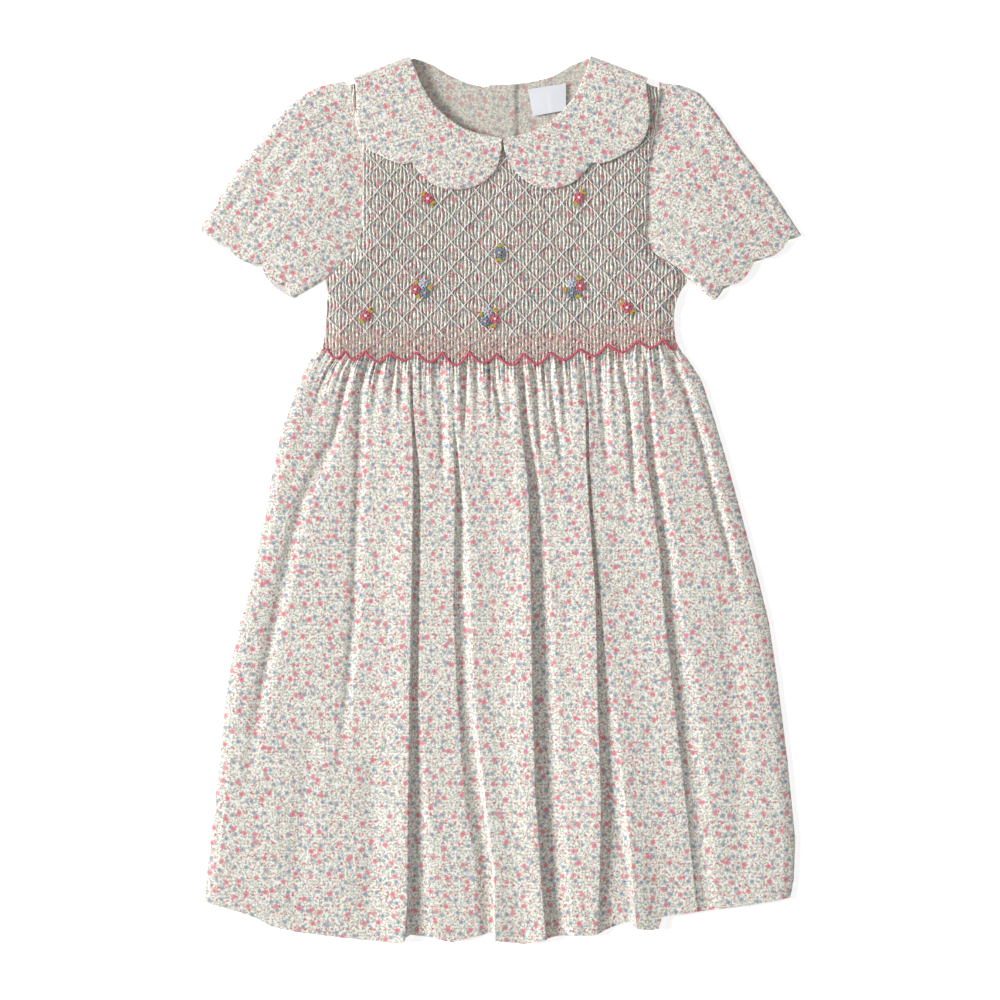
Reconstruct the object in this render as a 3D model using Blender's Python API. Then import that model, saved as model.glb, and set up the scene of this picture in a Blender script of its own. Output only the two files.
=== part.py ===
"""A child's dress with a smocked front, laid flat on its back on a surface.

Sizes are in millimetres until the meshes are made. +X runs to the right of the front as it is
seen from above, +Y towards the neck and +Z up from the surface. The origin is on the surface,
under the middle of the dress. Each piece that is cut and sewn is one closed solid, and pieces
that meet at a seam stay SEAM apart.
"""

import math
from collections import namedtuple

import bmesh
import bpy
import numpy as np

MM = 0.001

# Layers, from the surface upwards
SEAM = 0.3
CLOTH = 1.0
RAISED = CLOTH + SEAM
FLAP_UNDER = RAISED + CLOTH + SEAM
FRONT_UNDER = FLAP_UNDER + CLOTH + SEAM
FRONT_WALL = 1.4
PLEAT_RISE = 2.2
COLLAR_UNDER = FRONT_UNDER + FRONT_WALL + PLEAT_RISE + SEAM
COLLAR_WALL = 1.2

# Smocking: pleats across the front, and the diamonds that its threads draw
PLEATS = 105
DIAMOND_WIDE = 19.4
SMOCKING_TOP = 264.7
ROW_STEP = 10.12
SMOCKED_ROWS = 14
DIAMOND_PINCH = 0.5
WAIST_SCALLOPS = 17
SCALLOP_DROP = 9.0
SIDE_SLOPE = 12.0

# Skirt front
SKIRT_WALL = 1.2
PANEL_TOP = 5.0
LARGEST_GAP = 3.6
SIDE_ROLL = 9.0
SKIRT_STEPS = (0.0, 0.02, 0.05, 0.095, 0.16, 0.24, 0.35, 0.48, 0.62, 0.76, 0.89, 1.0)
GATHER_RISE = 2.1
GATHER_PLEATS = 3.1

# Sleeves
SLEEVE_MIDDLE = 1.9
SLEEVE_ROLL = 6.0
SLEEVE_WALL = 1.1
SLEEVE_LEAST_GAP = 0.4
SLEEVE_STEPS = 12
ARMHOLE_GAP = 0.9
UNDERARM_Y = 174.5
SLEEVE_ACROSS = (0.0, 0.012, 0.05, 0.14, 0.27, 0.42, 0.58, 0.73, 0.86, 0.95, 0.988, 1.0)

# Neck, shoulders and the centre-back placket
SHOULDER_INSET = 5.0
NECK_INSET = 2.0
BEND_PLAN = 4.0
COLLAR_STEPS = 22
COLLAR_ACROSS = (0.0, 0.035, 0.3, 0.7, 0.965, 1.0)
BEND_ANGLES = (60.0, 30.0, 0.0, -30.0, -60.0)
PLACKET_LEFT = -9.1
PLACKET_RIGHT = 10.0
PLACKET_RAMP = 6.0
COLLAR_BACK_END = 222.0
COLLAR_BACK_RAMP = 14.0
BUTTON_RADIUS = 5.5
BUTTON_PLACES = (250.0, 202.0, 154.0)

Side = namedtuple("Side", "y left right")
# Where the front ends at its armholes and sides, from the shoulders' tips to the waist
BODICE_SIDES = (
    Side(331.0, -122.8, 125.2),
    Side(323.9, -118.9, 125.8),
    Side(304.2, -115.7, 123.6),
    Side(285.2, -111.0, 120.5),
    Side(264.7, -108.6, 116.5),
    Side(237.0, -109.4, 114.9),
    Side(217.2, -110.2, 115.0),
    Side(205.4, -112.6, 116.5),
    Side(195.9, -117.3, 120.4),
    Side(188.0, -125.2, 132.5),
    Side(180.5, -132.0, 143.0),
    Side(173.0, -138.6, 147.6),
    Side(165.0, -137.2, 142.4),
    Side(150.0, -137.9, 137.6),
    Side(134.3, -139.4, 137.9),
    Side(120.9, -141.6, 139.8),
)
SKIRT_SIDES = (
    Side(122.0, -141.6, 139.8),
    Side(110.6, -151.0, 148.9),
    Side(94.8, -159.2, 159.2),
    Side(63.2, -171.0, 169.5),
    Side(31.6, -178.9, 178.9),
    Side(0.0, -184.5, 187.6),
    Side(-47.4, -193.9, 200.3),
    Side(-94.8, -205.8, 212.1),
    Side(-142.2, -216.1, 219.2),
    Side(-205.4, -222.4, 227.1),
    Side(-268.6, -229.5, 233.4),
    Side(-300.0, -233.4, 232.2),
    Side(-318.4, -235.0, 228.7),
)

Place = namedtuple("Place", "x y")
WAIST = (Place(-141.6, 121.6), Place(-66.8, 118.0), Place(-3.5, 116.4), Place(17.8, 116.6),
         Place(62.0, 121.2), Place(107.8, 127.0), Place(139.8, 123.4))
HEM = (Place(-235.0, -318.4), Place(-218.4, -322.3), Place(-199.5, -327.9), Place(-190.0, -331.8),
       Place(-180.5, -337.3), Place(-161.6, -341.3), Place(-123.6, -346.0), Place(-85.7, -349.6),
       Place(-77.0, -348.4), Place(-73.1, -343.7), Place(-57.3, -345.2), Place(-38.3, -349.6),
       Place(-19.4, -345.2), Place(-6.7, -342.1), Place(-3.0, -348.0), Place(18.6, -350.4),
       Place(37.5, -346.8), Place(47.0, -344.4), Place(75.4, -343.7), Place(84.9, -338.9),
       Place(103.9, -331.8), Place(110.2, -336.5), Place(118.1, -340.5), Place(124.4, -338.1),
       Place(129.2, -329.4), Place(160.8, -324.7), Place(198.7, -319.9), Place(228.7, -314.4))

# Each half runs from the point of the shoulder to the middle of the neck
NECK_LEFT = (Place(-71.5, 350.8), Place(-67.5, 341.3), Place(-62.8, 329.4), Place(-53.3, 313.6),
             Place(-40.7, 301.0), Place(-24.1, 291.3), Place(1.2, 285.2))
NECK_RIGHT = (Place(71.5, 350.8), Place(66.0, 335.0), Place(58.1, 318.4), Place(47.0, 305.7),
              Place(35.2, 296.2), Place(19.8, 289.4), Place(1.2, 285.2))
BACK_NECK_LEFT = (Place(-71.5, 350.8), Place(-57.3, 346.0), Place(-38.3, 335.0),
                  Place(-19.4, 328.2), Place(PLACKET_LEFT, 326.3), Place(PLACKET_RIGHT, 326.0))
BACK_NECK_RIGHT = (Place(71.5, 350.8), Place(56.5, 344.4), Place(37.5, 334.2), Place(18.6, 330.2),
                   Place(PLACKET_LEFT, 328.6))
SHOULDER_LEFT = (Place(-122.8, 331.8), Place(-99.9, 341.3), Place(-71.5, 350.8))
SHOULDER_RIGHT = (Place(125.2, 330.2), Place(98.0, 340.8), Place(71.5, 350.8))

# Outer edges of the collar from the middle of the front to the shoulder, and on to the back
COLLAR_LEFT_EDGE = (Place(0.9, 282.4), Place(0.6, 275.0), Place(-3.6, 260.7), Place(-16.2, 248.9),
                    Place(-32.0, 244.9), Place(-50.2, 247.3), Place(-62.8, 256.8),
                    Place(-69.9, 266.2), Place(-85.7, 267.0), Place(-99.1, 272.6),
                    Place(-110.2, 286.8), Place(-113.4, 304.2), Place(-112.9, 319.9),
                    Place(-116.6, 334.4))
COLLAR_RIGHT_EDGE = (Place(2.3, 282.4), Place(3.4, 275.0), Place(8.3, 263.0), Place(23.3, 249.6),
                     Place(39.1, 244.9), Place(57.3, 250.4), Place(67.5, 261.5),
                     Place(71.5, 266.2), Place(86.5, 267.8), Place(99.1, 273.3),
                     Place(112.6, 284.4), Place(118.1, 301.8), Place(117.3, 319.9),
                     Place(116.5, 333.6))
COLLAR_BACK_EDGE = (Place(116.5, 333.6), Place(113.0, 310.0), Place(104.0, 292.0),
                    Place(88.0, 285.0), Place(70.0, 284.0), Place(55.0, 274.0), Place(36.0, 268.0),
                    Place(18.0, 272.0), Place(6.0, 286.0), Place(2.6, 306.0), Place(2.2, 322.0))

SLEEVE_LEFT_FOLD = (Place(-122.8, 331.8), Place(-142.6, 327.1), Place(-158.4, 318.4),
                    Place(-174.2, 304.2), Place(-190.0, 284.4), Place(-213.7, 253.6),
                    Place(-229.5, 227.5), Place(-238.2, 213.3))
SLEEVE_LEFT_SEAM = (Place(-138.6, 173.8), Place(-150.5, 166.7), Place(-163.1, 159.6))
SLEEVE_RIGHT_FOLD = (Place(125.2, 330.2), Place(141.8, 328.2), Place(157.6, 321.5),
                     Place(170.2, 306.5), Place(189.2, 278.9), Place(212.9, 247.3),
                     Place(228.7, 223.6), Place(237.8, 209.6))
SLEEVE_RIGHT_SEAM = (Place(147.6, 175.4), Place(155.6, 168.2), Place(167.9, 157.2))

Scallop = namedtuple("Scallop", "along out")
# Each sleeve's hem, as a share of the way from its fold to its seam and how far it stands out
LEFT_HEM_FRONT = (Scallop(0.0, 0.0), Scallop(0.13, -1.6), Scallop(0.27, -4.2), Scallop(0.35, -1.4),
                  Scallop(0.44, -0.2), Scallop(0.52, -2.2), Scallop(0.60, -10.0),
                  Scallop(0.65, -5.0), Scallop(0.72, -0.6), Scallop(0.79, 0.2),
                  Scallop(0.86, -6.4), Scallop(0.93, -2.4), Scallop(1.0, 0.0))
LEFT_HEM_BACK = (Scallop(0.0, 0.0), Scallop(0.10, -2.0), Scallop(0.19, 0.2), Scallop(0.28, -2.4),
                 Scallop(0.40, -2.6), Scallop(0.50, -1.4), Scallop(0.57, -5.4),
                 Scallop(0.66, -7.0), Scallop(0.75, -1.0), Scallop(0.84, 1.6), Scallop(0.92, 0.4),
                 Scallop(1.0, 0.0))
RIGHT_HEM_FRONT = (Scallop(0.0, 0.0), Scallop(0.09, -5.6), Scallop(0.17, -2.4),
                   Scallop(0.27, -0.4), Scallop(0.36, -2.2), Scallop(0.47, -7.6),
                   Scallop(0.54, -4.8), Scallop(0.66, -0.6), Scallop(0.76, -0.4),
                   Scallop(0.85, -5.4), Scallop(0.93, -1.8), Scallop(1.0, 0.0))
RIGHT_HEM_BACK = (Scallop(0.0, 0.0), Scallop(0.07, -2.6), Scallop(0.17, -3.4),
                  Scallop(0.29, -2.0), Scallop(0.42, -4.4), Scallop(0.52, -7.0),
                  Scallop(0.62, -2.6), Scallop(0.72, -1.6), Scallop(0.84, -3.0),
                  Scallop(0.93, -2.6), Scallop(1.0, 0.0))

Fold = namedtuple("Fold", "name pleat mid hem waist_deep mid_deep hem_deep waist_wide hem_wide lip")
# Long folds of the skirt: the pleat that each starts from, where it lies across the skirt's width
# half way down and at the hem, how deep it is, how far its steep side to its soft side, and its lip
FOLDS = (
    Fold("left_bend", 10.5, 0.071, 0.050, 2.0, 1.8, 0.6, 3.5, 9.0, 0.6),
    Fold("left_soft", 16.0, 0.216, 0.215, 1.6, 1.5, 0.3, 3.5, 9.0, 0.5),
    Fold("left_lap", 29.0, 0.333, 0.372, 2.2, 2.4, 2.4, 3.0, 12.0, 2.6),
    Fold("middle_soft", 43.0, 0.425, 0.487, 2.2, 1.9, 2.0, 3.2, 9.0, 1.0),
    Fold("middle_lap", 58.0, 0.568, 0.602, 2.4, 2.4, 2.4, 3.4, 12.5, 2.8),
    Fold("right_lap", 74.0, 0.677, 0.700, 2.2, 2.0, 2.4, 3.0, 15.0, 2.2),
    Fold("right_soft", 90.0, 0.824, 0.862, 2.4, 2.2, 1.2, 3.6, 13.0, 1.4),
    Fold("right_edge", 99.5, 0.955, 0.960, 1.8, 0.9, 0.3, 3.4, 8.0, 0.3),
)

Release = namedtuple("Release", "pleat length deep")
# Gathers between the long folds, which fade out below the waist
RELEASES = (
    Release(5.0, 0.10, 1.6), Release(20.5, 0.13, 1.8), Release(24.5, 0.09, 1.6),
    Release(33.0, 0.12, 1.8), Release(37.5, 0.24, 2.0), Release(47.5, 0.10, 1.6),
    Release(52.5, 0.22, 2.0), Release(62.5, 0.13, 1.8), Release(66.5, 0.34, 2.0),
    Release(70.5, 0.12, 1.6), Release(79.5, 0.23, 2.0), Release(84.5, 0.33, 2.0),
    Release(94.5, 0.14, 1.8), Release(102.0, 0.10, 1.4),
)
RELEASE_WIDE = 3.2


def smooth(share):
    """0 to 1 with a soft start and end."""
    share = min(max(share, 0.0), 1.0)
    return share * share * (3.0 - 2.0 * share)


def mix(start, end, share):
    return start + (end - start) * share


def read(table, field, at, key="y"):
    """A table's column, read between its rows."""
    rows = sorted(table, key=lambda row: getattr(row, key))
    return float(np.interp(at, [getattr(row, key) for row in rows],
                           [getattr(row, field) for row in rows]))


def curve(points, steps, rounds=12):
    """A smooth curve through a few places, as steps + 1 points evenly spaced along it."""
    points = [np.array(point, float) for point in points]
    ends = [2 * points[0] - points[1], *points, 2 * points[-1] - points[-2]]
    fine = [points[0]]
    for before, start, end, after in zip(ends, ends[1:], ends[2:], ends[3:]):
        for step in range(1, rounds + 1):
            t = step / rounds
            fine.append(0.5 * (2 * start + (end - before) * t
                               + (2 * before - 5 * start + 4 * end - after) * t * t
                               + (3 * start - before - 3 * end + after) * t ** 3))
    fine = np.array(fine)
    lengths = np.concatenate([[0.0], np.cumsum(np.linalg.norm(np.diff(fine, axis=0), axis=1))])
    at = np.linspace(0.0, lengths[-1], steps + 1)
    return np.column_stack([np.interp(at, lengths, fine[:, axis]) for axis in (0, 1)])


def side_line(side):
    """One side of the bodice as a smooth line, from the shoulder to the waist."""
    return curve([(getattr(row, side), row.y) for row in BODICE_SIDES], 90)


def side_x(side, y):
    line = side_line(side)
    return float(np.interp(y, line[::-1, 1], line[::-1, 0]))


def armhole(side):
    """The part of the side that a sleeve is set into, moved off it by the seam's gap."""
    line = [place for place in side_line(side) if place[1] > UNDERARM_Y]
    return moved_aside(line, ARMHOLE_GAP * (-1.0 if side == "left" else 1.0))


def moved_aside(points, distance):
    """A line of points moved to its left by a distance, or to its right by a negative one."""
    points = np.array(points, float)
    along = np.gradient(points, axis=0)
    along /= np.linalg.norm(along, axis=1)[:, None]
    return points + distance * np.column_stack([-along[:, 1], along[:, 0]])


def patch(top, bottom, start, end, across, down):
    """Points of a four-sided patch, at shares across and down it, from its four edges."""
    def on(edge, share):
        at = share * (len(edge) - 1)
        low = min(int(at), len(edge) - 2)
        return mix(edge[low], edge[low + 1], at - low)

    rows = []
    for v in down:
        row = []
        for u in across:
            ruled = mix(on(top, u), on(bottom, u), v) + mix(on(start, v), on(end, v), u)
            corners = mix(mix(top[0], top[-1], u), mix(bottom[0], bottom[-1], u), v)
            row.append(ruled - corners)
        rows.append(row)
    return rows


class Solid:
    """Points and triangles of one closed wall, in millimetres."""

    def __init__(self):
        self.points = []
        self.faces = []

    def row(self, places):
        first = len(self.points)
        self.points.extend(tuple(place) for place in places)
        return list(range(first, len(self.points)))

    def stitch(self, upper, lower, by_x=False):
        """Fills the strip between two rows of points, whatever their counts."""
        def shares(row):
            places = np.array([self.points[index] for index in row])
            if by_x:
                return places[:, 0]
            steps = np.linalg.norm(np.diff(places[:, :2], axis=0), axis=1)
            total = np.concatenate([[0.0], np.cumsum(steps)])
            return total / max(total[-1], 1e-9)

        above, below = shares(upper), shares(lower)
        i = j = 0
        while i < len(upper) - 1 or j < len(lower) - 1:
            lower_done = j == len(lower) - 1
            if lower_done or (i < len(upper) - 1 and above[i + 1] <= below[j + 1]):
                self.faces.append((upper[i], lower[j], upper[i + 1]))
                i += 1
            else:
                self.faces.append((upper[i], lower[j], lower[j + 1]))
                j += 1

    def sheet(self, upper_rows, under_rows, closed_ends=(True, True), straight=0):
        """A wall between the rows of its upper face and those of its underside.

        Its first strips, as many as straight says, keep their columns at the same x.
        """
        for rows in (upper_rows, under_rows):
            for number, (above, below) in enumerate(zip(rows, rows[1:])):
                self.stitch(above, below, by_x=number < straight)
        for side in (0, -1):
            self.stitch([row[side] for row in upper_rows], [row[side] for row in under_rows])
        for end, closed in zip((0, -1), closed_ends):
            if closed:
                self.stitch(upper_rows[end], under_rows[end])

    def make(self, name, material):
        mesh = bpy.data.meshes.new(name)
        builder = bmesh.new()
        corners = [builder.verts.new([value * MM for value in point]) for point in self.points]
        for face in self.faces:
            if len(set(face)) == 3:
                builder.faces.new([corners[index] for index in face])
        bmesh.ops.remove_doubles(builder, verts=builder.verts, dist=0.00001)
        bmesh.ops.recalc_face_normals(builder, faces=builder.faces)
        builder.to_mesh(mesh)
        builder.free()
        return add_object(name, mesh, material)


def add_object(name, mesh, material):
    made = bpy.data.objects.new(name, mesh)
    mesh.materials.append(material)
    mesh.shade_smooth()
    mesh.set_sharp_from_angle(angle=math.radians(50.0))
    bpy.context.collection.objects.link(made)
    return made


def finish(name, colour, roughness, sheen=0.0):
    """A plain finish for one kind of cloth or trim."""
    material = bpy.data.materials.new(name)
    material.use_nodes = True
    shader = material.node_tree.nodes["Principled BSDF"]
    shader.inputs["Base Color"].default_value = (*colour, 1.0)
    shader.inputs["Roughness"].default_value = roughness
    shader.inputs["Metallic"].default_value = 0.0
    shader.inputs["Sheen Weight"].default_value = sheen
    return material


def waist_y(share):
    """The last row of smocking: a line of scallops from side to side."""
    x = mix(WAIST[0].x, WAIST[-1].x, share)
    drop = SCALLOP_DROP * abs(math.sin(math.pi * WAIST_SCALLOPS * share)) ** 0.8
    return read(WAIST, "y", x, key="x") - drop * smooth(share * 40.0) * smooth((1 - share) * 40.0)


def pleat_columns(left, right):
    """Where a row's pleats and the grooves between them lie, and which of them are pleats."""
    pitch = (WAIST[-1].x - WAIST[0].x) / (2 * PLEATS)
    first = math.ceil((left - WAIST[0].x + 0.6) / pitch)
    last = math.floor((right - WAIST[0].x - 0.6) / pitch)
    return [(WAIST[0].x + number * pitch, number % 2 == 1) for number in range(first, last + 1)]


def front_side_under(y):
    """How low the front's underside comes at its side seams, to lie on the back."""
    on_collar = smooth((y - COLLAR_BACK_END + COLLAR_BACK_RAMP) / COLLAR_BACK_RAMP)
    return mix(RAISED, FLAP_UNDER, on_collar)


def smocked_row(left, right, pinch_turn, rise, seams=("left", "right")):
    """One row of the smocking's upper face and of the plain face under it."""
    upper, under = [], []

    def y_at(x):
        return mix(left[1], right[1], (x - left[0]) / (right[0] - left[0]))

    def inside(x):
        to_left = x - left[0] if "left" in seams else SIDE_SLOPE
        to_right = right[0] - x if "right" in seams else SIDE_SLOPE
        return mix(front_side_under(y_at(x)), FRONT_UNDER, smooth(min(to_left, to_right) / SIDE_SLOPE))

    for x, is_pleat in [(left[0], False), *pleat_columns(left[0], right[0]), (right[0], False)]:
        y = y_at(x)
        pinch = 0.5 + 0.5 * math.cos(2 * math.pi * x / DIAMOND_WIDE + math.pi * pinch_turn)
        height = rise * (1.0 - DIAMOND_PINCH * pinch) if is_pleat else 0.0
        upper.append((x, y, inside(x) + FRONT_WALL + height))
    width = right[0] - left[0]
    inner = [left[0] + width * share for share in (0.25, 0.5, 0.75)]
    edges = [SIDE_SLOPE * share for share in (0.0, 0.35, 0.7, 1.0)]
    if width > 4 * SIDE_SLOPE:
        places = [left[0] + edge for edge in edges] + inner + [right[0] - e for e in edges[::-1]]
    else:
        places = [left[0]] + inner + [right[0]]
    for x in places:
        under.append((x, y_at(x), inside(x)))
    return upper, under


def fold_across(fold, pleat_share, down):
    """Where a fold lies across the skirt at a share of the way down."""
    start, middle, end = pleat_share, fold.mid, fold.hem
    return (start * (1 - down) * (1 - 2 * down) + 4 * middle * down * (1 - down)
            + end * down * (2 * down - 1))


def skirt_share(pleat, down):
    """Where a pleat's cloth lies across the skirt, drawn along by the long folds."""
    pleats = [0.0] + [fold.pleat for fold in FOLDS] + [float(PLEATS)]
    shares = [0.0] + [fold_across(fold, fold.pleat / PLEATS, down) for fold in FOLDS] + [1.0]
    return float(np.interp(pleat, pleats, shares))


def skirt_place(pleat, down):
    share = skirt_share(pleat, down)
    left_y = mix(waist_y(0.0), HEM[0].y, down)
    right_y = mix(waist_y(1.0), HEM[-1].y, down)
    x = mix(read(SKIRT_SIDES, "left", left_y), read(SKIRT_SIDES, "right", right_y), share)
    hem_x = mix(HEM[0].x, HEM[-1].x, share)
    return x, mix(waist_y(share), read(HEM, "y", hem_x, key="x"), down)


def fold_depth(fold, down):
    if down < 0.5:
        return mix(fold.waist_deep, fold.mid_deep, down * 2)
    return mix(fold.mid_deep, fold.hem_deep, down * 2 - 1)


def skirt_top(pleat, x, down, width):
    """Height of the skirt front: long folds with a steep and a soft side, and short gathers."""
    height = PANEL_TOP + 1.6 * (1 - smooth(down / 0.12))
    for fold in FOLDS:
        centre = skirt_place(fold.pleat, down)[0]
        wide = mix(fold.waist_wide, fold.hem_wide, down)
        aside = (x - centre) / wide
        steepness = 0.55 if aside < 0 else 1.0
        height -= fold_depth(fold, down) * math.exp(-((aside / steepness) ** 2))
        lip = fold.lip * smooth(down / 0.15)
        height += lip * math.exp(-(((aside + 1.35) / 0.75) ** 2))
    for gather in RELEASES:
        fade = math.exp(-((down / gather.length) ** 2))
        aside = (x - skirt_place(gather.pleat, down)[0]) / RELEASE_WIDE
        height -= gather.deep * fade * math.exp(-(aside ** 2))
    ripple = math.cos(2 * math.pi * pleat / GATHER_PLEATS) * math.exp(-down / 0.05)
    height += GATHER_RISE * 0.5 * ripple
    lowest = RAISED + SKIRT_WALL
    roll = math.sqrt(min(1.0, min(pleat, PLEATS - pleat) / PLEATS * width / SIDE_ROLL))
    return mix(lowest, max(height, lowest), roll)


def skirt_row(down):
    """One row across the skirt front: its upper face, and its underside at every third pleat."""
    width = skirt_place(PLEATS, down)[0] - skirt_place(0.0, down)[0]
    upper, under = [], []
    for pleat in range(PLEATS + 1):
        x, y = skirt_place(pleat, down)
        top = skirt_top(pleat, x, down, width)
        upper.append((x, y, top))
        if pleat % 3 == 0:
            gap_top = mix(FRONT_UNDER, RAISED + LARGEST_GAP, smooth(down / 0.1))
            under.append((x, y, max(RAISED, min(top - SKIRT_WALL, gap_top) - 0.15)))
    return upper, under


def make_front(material):
    """The front panel: smocked from the neck to the waist, and let go into the skirt."""
    solid = Solid()
    neck_line = {}
    shoulder_rows = {}
    halves = {"left": (SHOULDER_LEFT, NECK_LEFT, -1.0),
              "right": (SHOULDER_RIGHT, NECK_RIGHT, 1.0)}
    steps = 4
    for side, (shoulder, neck, turn) in halves.items():
        neck_line[side] = moved_aside(curve(neck, steps), turn * NECK_INSET)
        neck_line[side][-1] = (NECK_LEFT[-1].x, NECK_LEFT[-1].y - NECK_INSET)
        tip_y = shoulder[0].y - SHOULDER_INSET
        tip = np.array([side_x(side, tip_y), tip_y])
        point = np.array(shoulder[-1]) + (turn * NECK_INSET, -SHOULDER_INSET - 1.0)
        neck_line[side][0] = point
        rows = []
        for step in range(steps + 1):
            share = step / steps
            y = mix(tip[1], neck_line[side][-1][1], share)
            outer = np.array([side_x(side, y), y])
            if step == 0:
                outer = tip
            inner = neck_line[side][step]
            left, right = (outer, inner) if side == "left" else (inner, outer)
            # The relief starts one step below the shoulder's fold.
            rise = 0.0 if step == 0 else PLEAT_RISE
            rows.append(smocked_row(left, right, step, rise, seams=(side,)))
        shoulder_rows[side] = ([solid.row(upper) for upper, under in rows],
                               [solid.row(under) for upper, under in rows])
        solid.sheet(*shoulder_rows[side], closed_ends=(True, False), straight=steps)

    upper_rows = [shoulder_rows["left"][0][-1] + shoulder_rows["right"][0][-1][1:]]
    under_rows = [shoulder_rows["left"][1][-1] + shoulder_rows["right"][1][-1][1:]]
    for number in range(SMOCKED_ROWS):
        y = SMOCKING_TOP - ROW_STEP * number
        left = (side_x("left", y), y)
        right = (side_x("right", y), y)
        upper, under = smocked_row(left, right, number, PLEAT_RISE)
        upper_rows.append(solid.row(upper))
        under_rows.append(solid.row(under))
    upper, under = smocked_row((WAIST[0].x, 0.0), (WAIST[-1].x, 0.0), SMOCKED_ROWS, PLEAT_RISE)
    width = WAIST[-1].x - WAIST[0].x
    for rows, points in ((upper_rows, upper), (under_rows, under)):
        placed = [(x, waist_y((x - WAIST[0].x) / width), z) for x, y, z in points]
        rows.append(solid.row(placed))
    for down in SKIRT_STEPS[1:]:
        upper, under = skirt_row(down)
        upper_rows.append(solid.row(upper))
        under_rows.append(solid.row(under))
    straight = SMOCKED_ROWS + 1
    solid.sheet(upper_rows, under_rows, closed_ends=(False, True), straight=straight)
    return solid.make("front", material)


def back_lift(x, y, strip_under):
    """Underside of the back bodice: on the surface, or on the collar and the buttons under it."""
    on_collar = smooth((y - COLLAR_BACK_END + COLLAR_BACK_RAMP) / COLLAR_BACK_RAMP) * RAISED
    aside = max(PLACKET_LEFT - x, x - PLACKET_RIGHT - 0.6, 0.0)
    on_strip = (1 - smooth(aside / PLACKET_RAMP)) * strip_under
    return max(on_collar, on_strip)


def make_back_half(name, side, material):
    """Half of the plain back bodice, with its flap of the placket at fixed places across."""
    left = side == "left"
    turn = 1.0 if left else -1.0
    shoulder = curve(SHOULDER_LEFT if left else SHOULDER_RIGHT, 8)
    neck = curve(BACK_NECK_LEFT if left else BACK_NECK_RIGHT, 24)
    if left:
        flap = (PLACKET_LEFT - PLACKET_RAMP, PLACKET_LEFT - PLACKET_RAMP / 2, PLACKET_LEFT,
                PLACKET_RIGHT)
    else:
        start = PLACKET_RIGHT + 0.6
        flap = (start + PLACKET_RAMP, start + PLACKET_RAMP / 2, start, PLACKET_LEFT)
    order = np.argsort(neck[:, 0])
    neck_y = [float(np.interp(x, neck[order, 0], neck[order, 1])) - 0.6 for x in flap]
    kept = [place for place in neck[1:] if (flap[0] - place[0]) * turn > 2.0]
    shoulder[:, 1] -= SHOULDER_INSET
    shoulder[0, 0] = side_x(side, shoulder[0, 1])
    top = np.array([*shoulder, *(np.array(kept) + (0.0, -0.6)),
                    (flap[0], neck_y[0])])
    waist_end = waist_y(0.0) + SEAM
    down = [step / 14 for step in range(15)]
    outer = np.array([(side_x(side, y), y)
                      for y in np.linspace(top[0, 1], waist_end, 25)])
    outer[0] = top[0]
    inner = np.array([(flap[0], y) for y in np.linspace(neck_y[0], waist_end, 25)])
    bottom = np.array([mix(outer[-1], inner[-1], share) for share in (0.0, 0.5, 1.0)])
    across = [0.0, 0.15, 0.3, 0.45, 0.6, 0.75, 0.9, 1.0]
    strip_under = RAISED if left else FLAP_UNDER
    solid = Solid()
    upper_rows, under_rows = [], []
    for share, places in zip(down, patch(top, bottom, outer, inner, across, down)):
        places += [(x, mix(y, waist_end, share)) for x, y in zip(flap[1:], neck_y[1:])]
        if not left:
            places = places[::-1]
        under = [(x, y, back_lift(x, y, strip_under)) for x, y in places]
        upper_rows.append(solid.row([(x, y, z + CLOTH) for x, y, z in under]))
        under_rows.append(solid.row(under))
    solid.sheet(upper_rows, under_rows)
    return solid.make(name, material)


def plate(name, outline, low, high, material):
    """A flat piece of cloth or trim from its outline."""
    mesh = bpy.data.meshes.new(name)
    builder = bmesh.new()
    corners = [builder.verts.new((x * MM, y * MM, low * MM)) for x, y in outline]
    face = builder.faces.new(corners)
    raised = bmesh.ops.extrude_face_region(builder, geom=[face])["geom"]
    moved = [item for item in raised if isinstance(item, bmesh.types.BMVert)]
    bmesh.ops.translate(builder, verts=moved, vec=(0.0, 0.0, (high - low) * MM))
    bmesh.ops.triangulate(builder, faces=builder.faces)
    bmesh.ops.recalc_face_normals(builder, faces=builder.faces)
    builder.to_mesh(mesh)
    builder.free()
    return add_object(name, mesh, material)


def make_back_skirt(material):
    """The back of the skirt, flat on the surface, just inside the front's edges."""
    inset = 0.8
    waist = waist_y(0.0)
    left = [(row.left + inset, row.y) for row in SKIRT_SIDES[1:-1]]
    right = [(row.right - inset, row.y) for row in SKIRT_SIDES[1:-1]]
    top = [(SKIRT_SIDES[0].right - inset, waist), (SKIRT_SIDES[0].left + inset, waist)]
    plain_hem = [place for place in HEM if place.y < -319.0 and not 100.0 < place.x < 127.0]
    hem = [(place.x, place.y + 2.0) for place in plain_hem]
    hem = [(HEM[0].x + 2.0, HEM[0].y + 1.0), *hem, (HEM[-1].x - 2.0, HEM[-1].y + 1.0)]
    outline = left + hem + right[::-1] + top
    return plate("back_skirt", outline, 0.0, CLOTH, material)


def scalloped_hem(start, end, scallops, out_turn, steps):
    """A sleeve's hem from its fold to its seam, standing out by its scallops."""
    start, end = np.array(start, float), np.array(end, float)
    along = (end - start) / np.linalg.norm(end - start)
    outward = np.array([along[1], -along[0]]) * out_turn
    shares = np.linspace(0.0, 1.0, steps + 1)
    outs = [read(scallops, "out", share, key="along") for share in shares]
    return np.array([mix(start, end, share) + outward * out for share, out in zip(shares, outs)])


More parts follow.
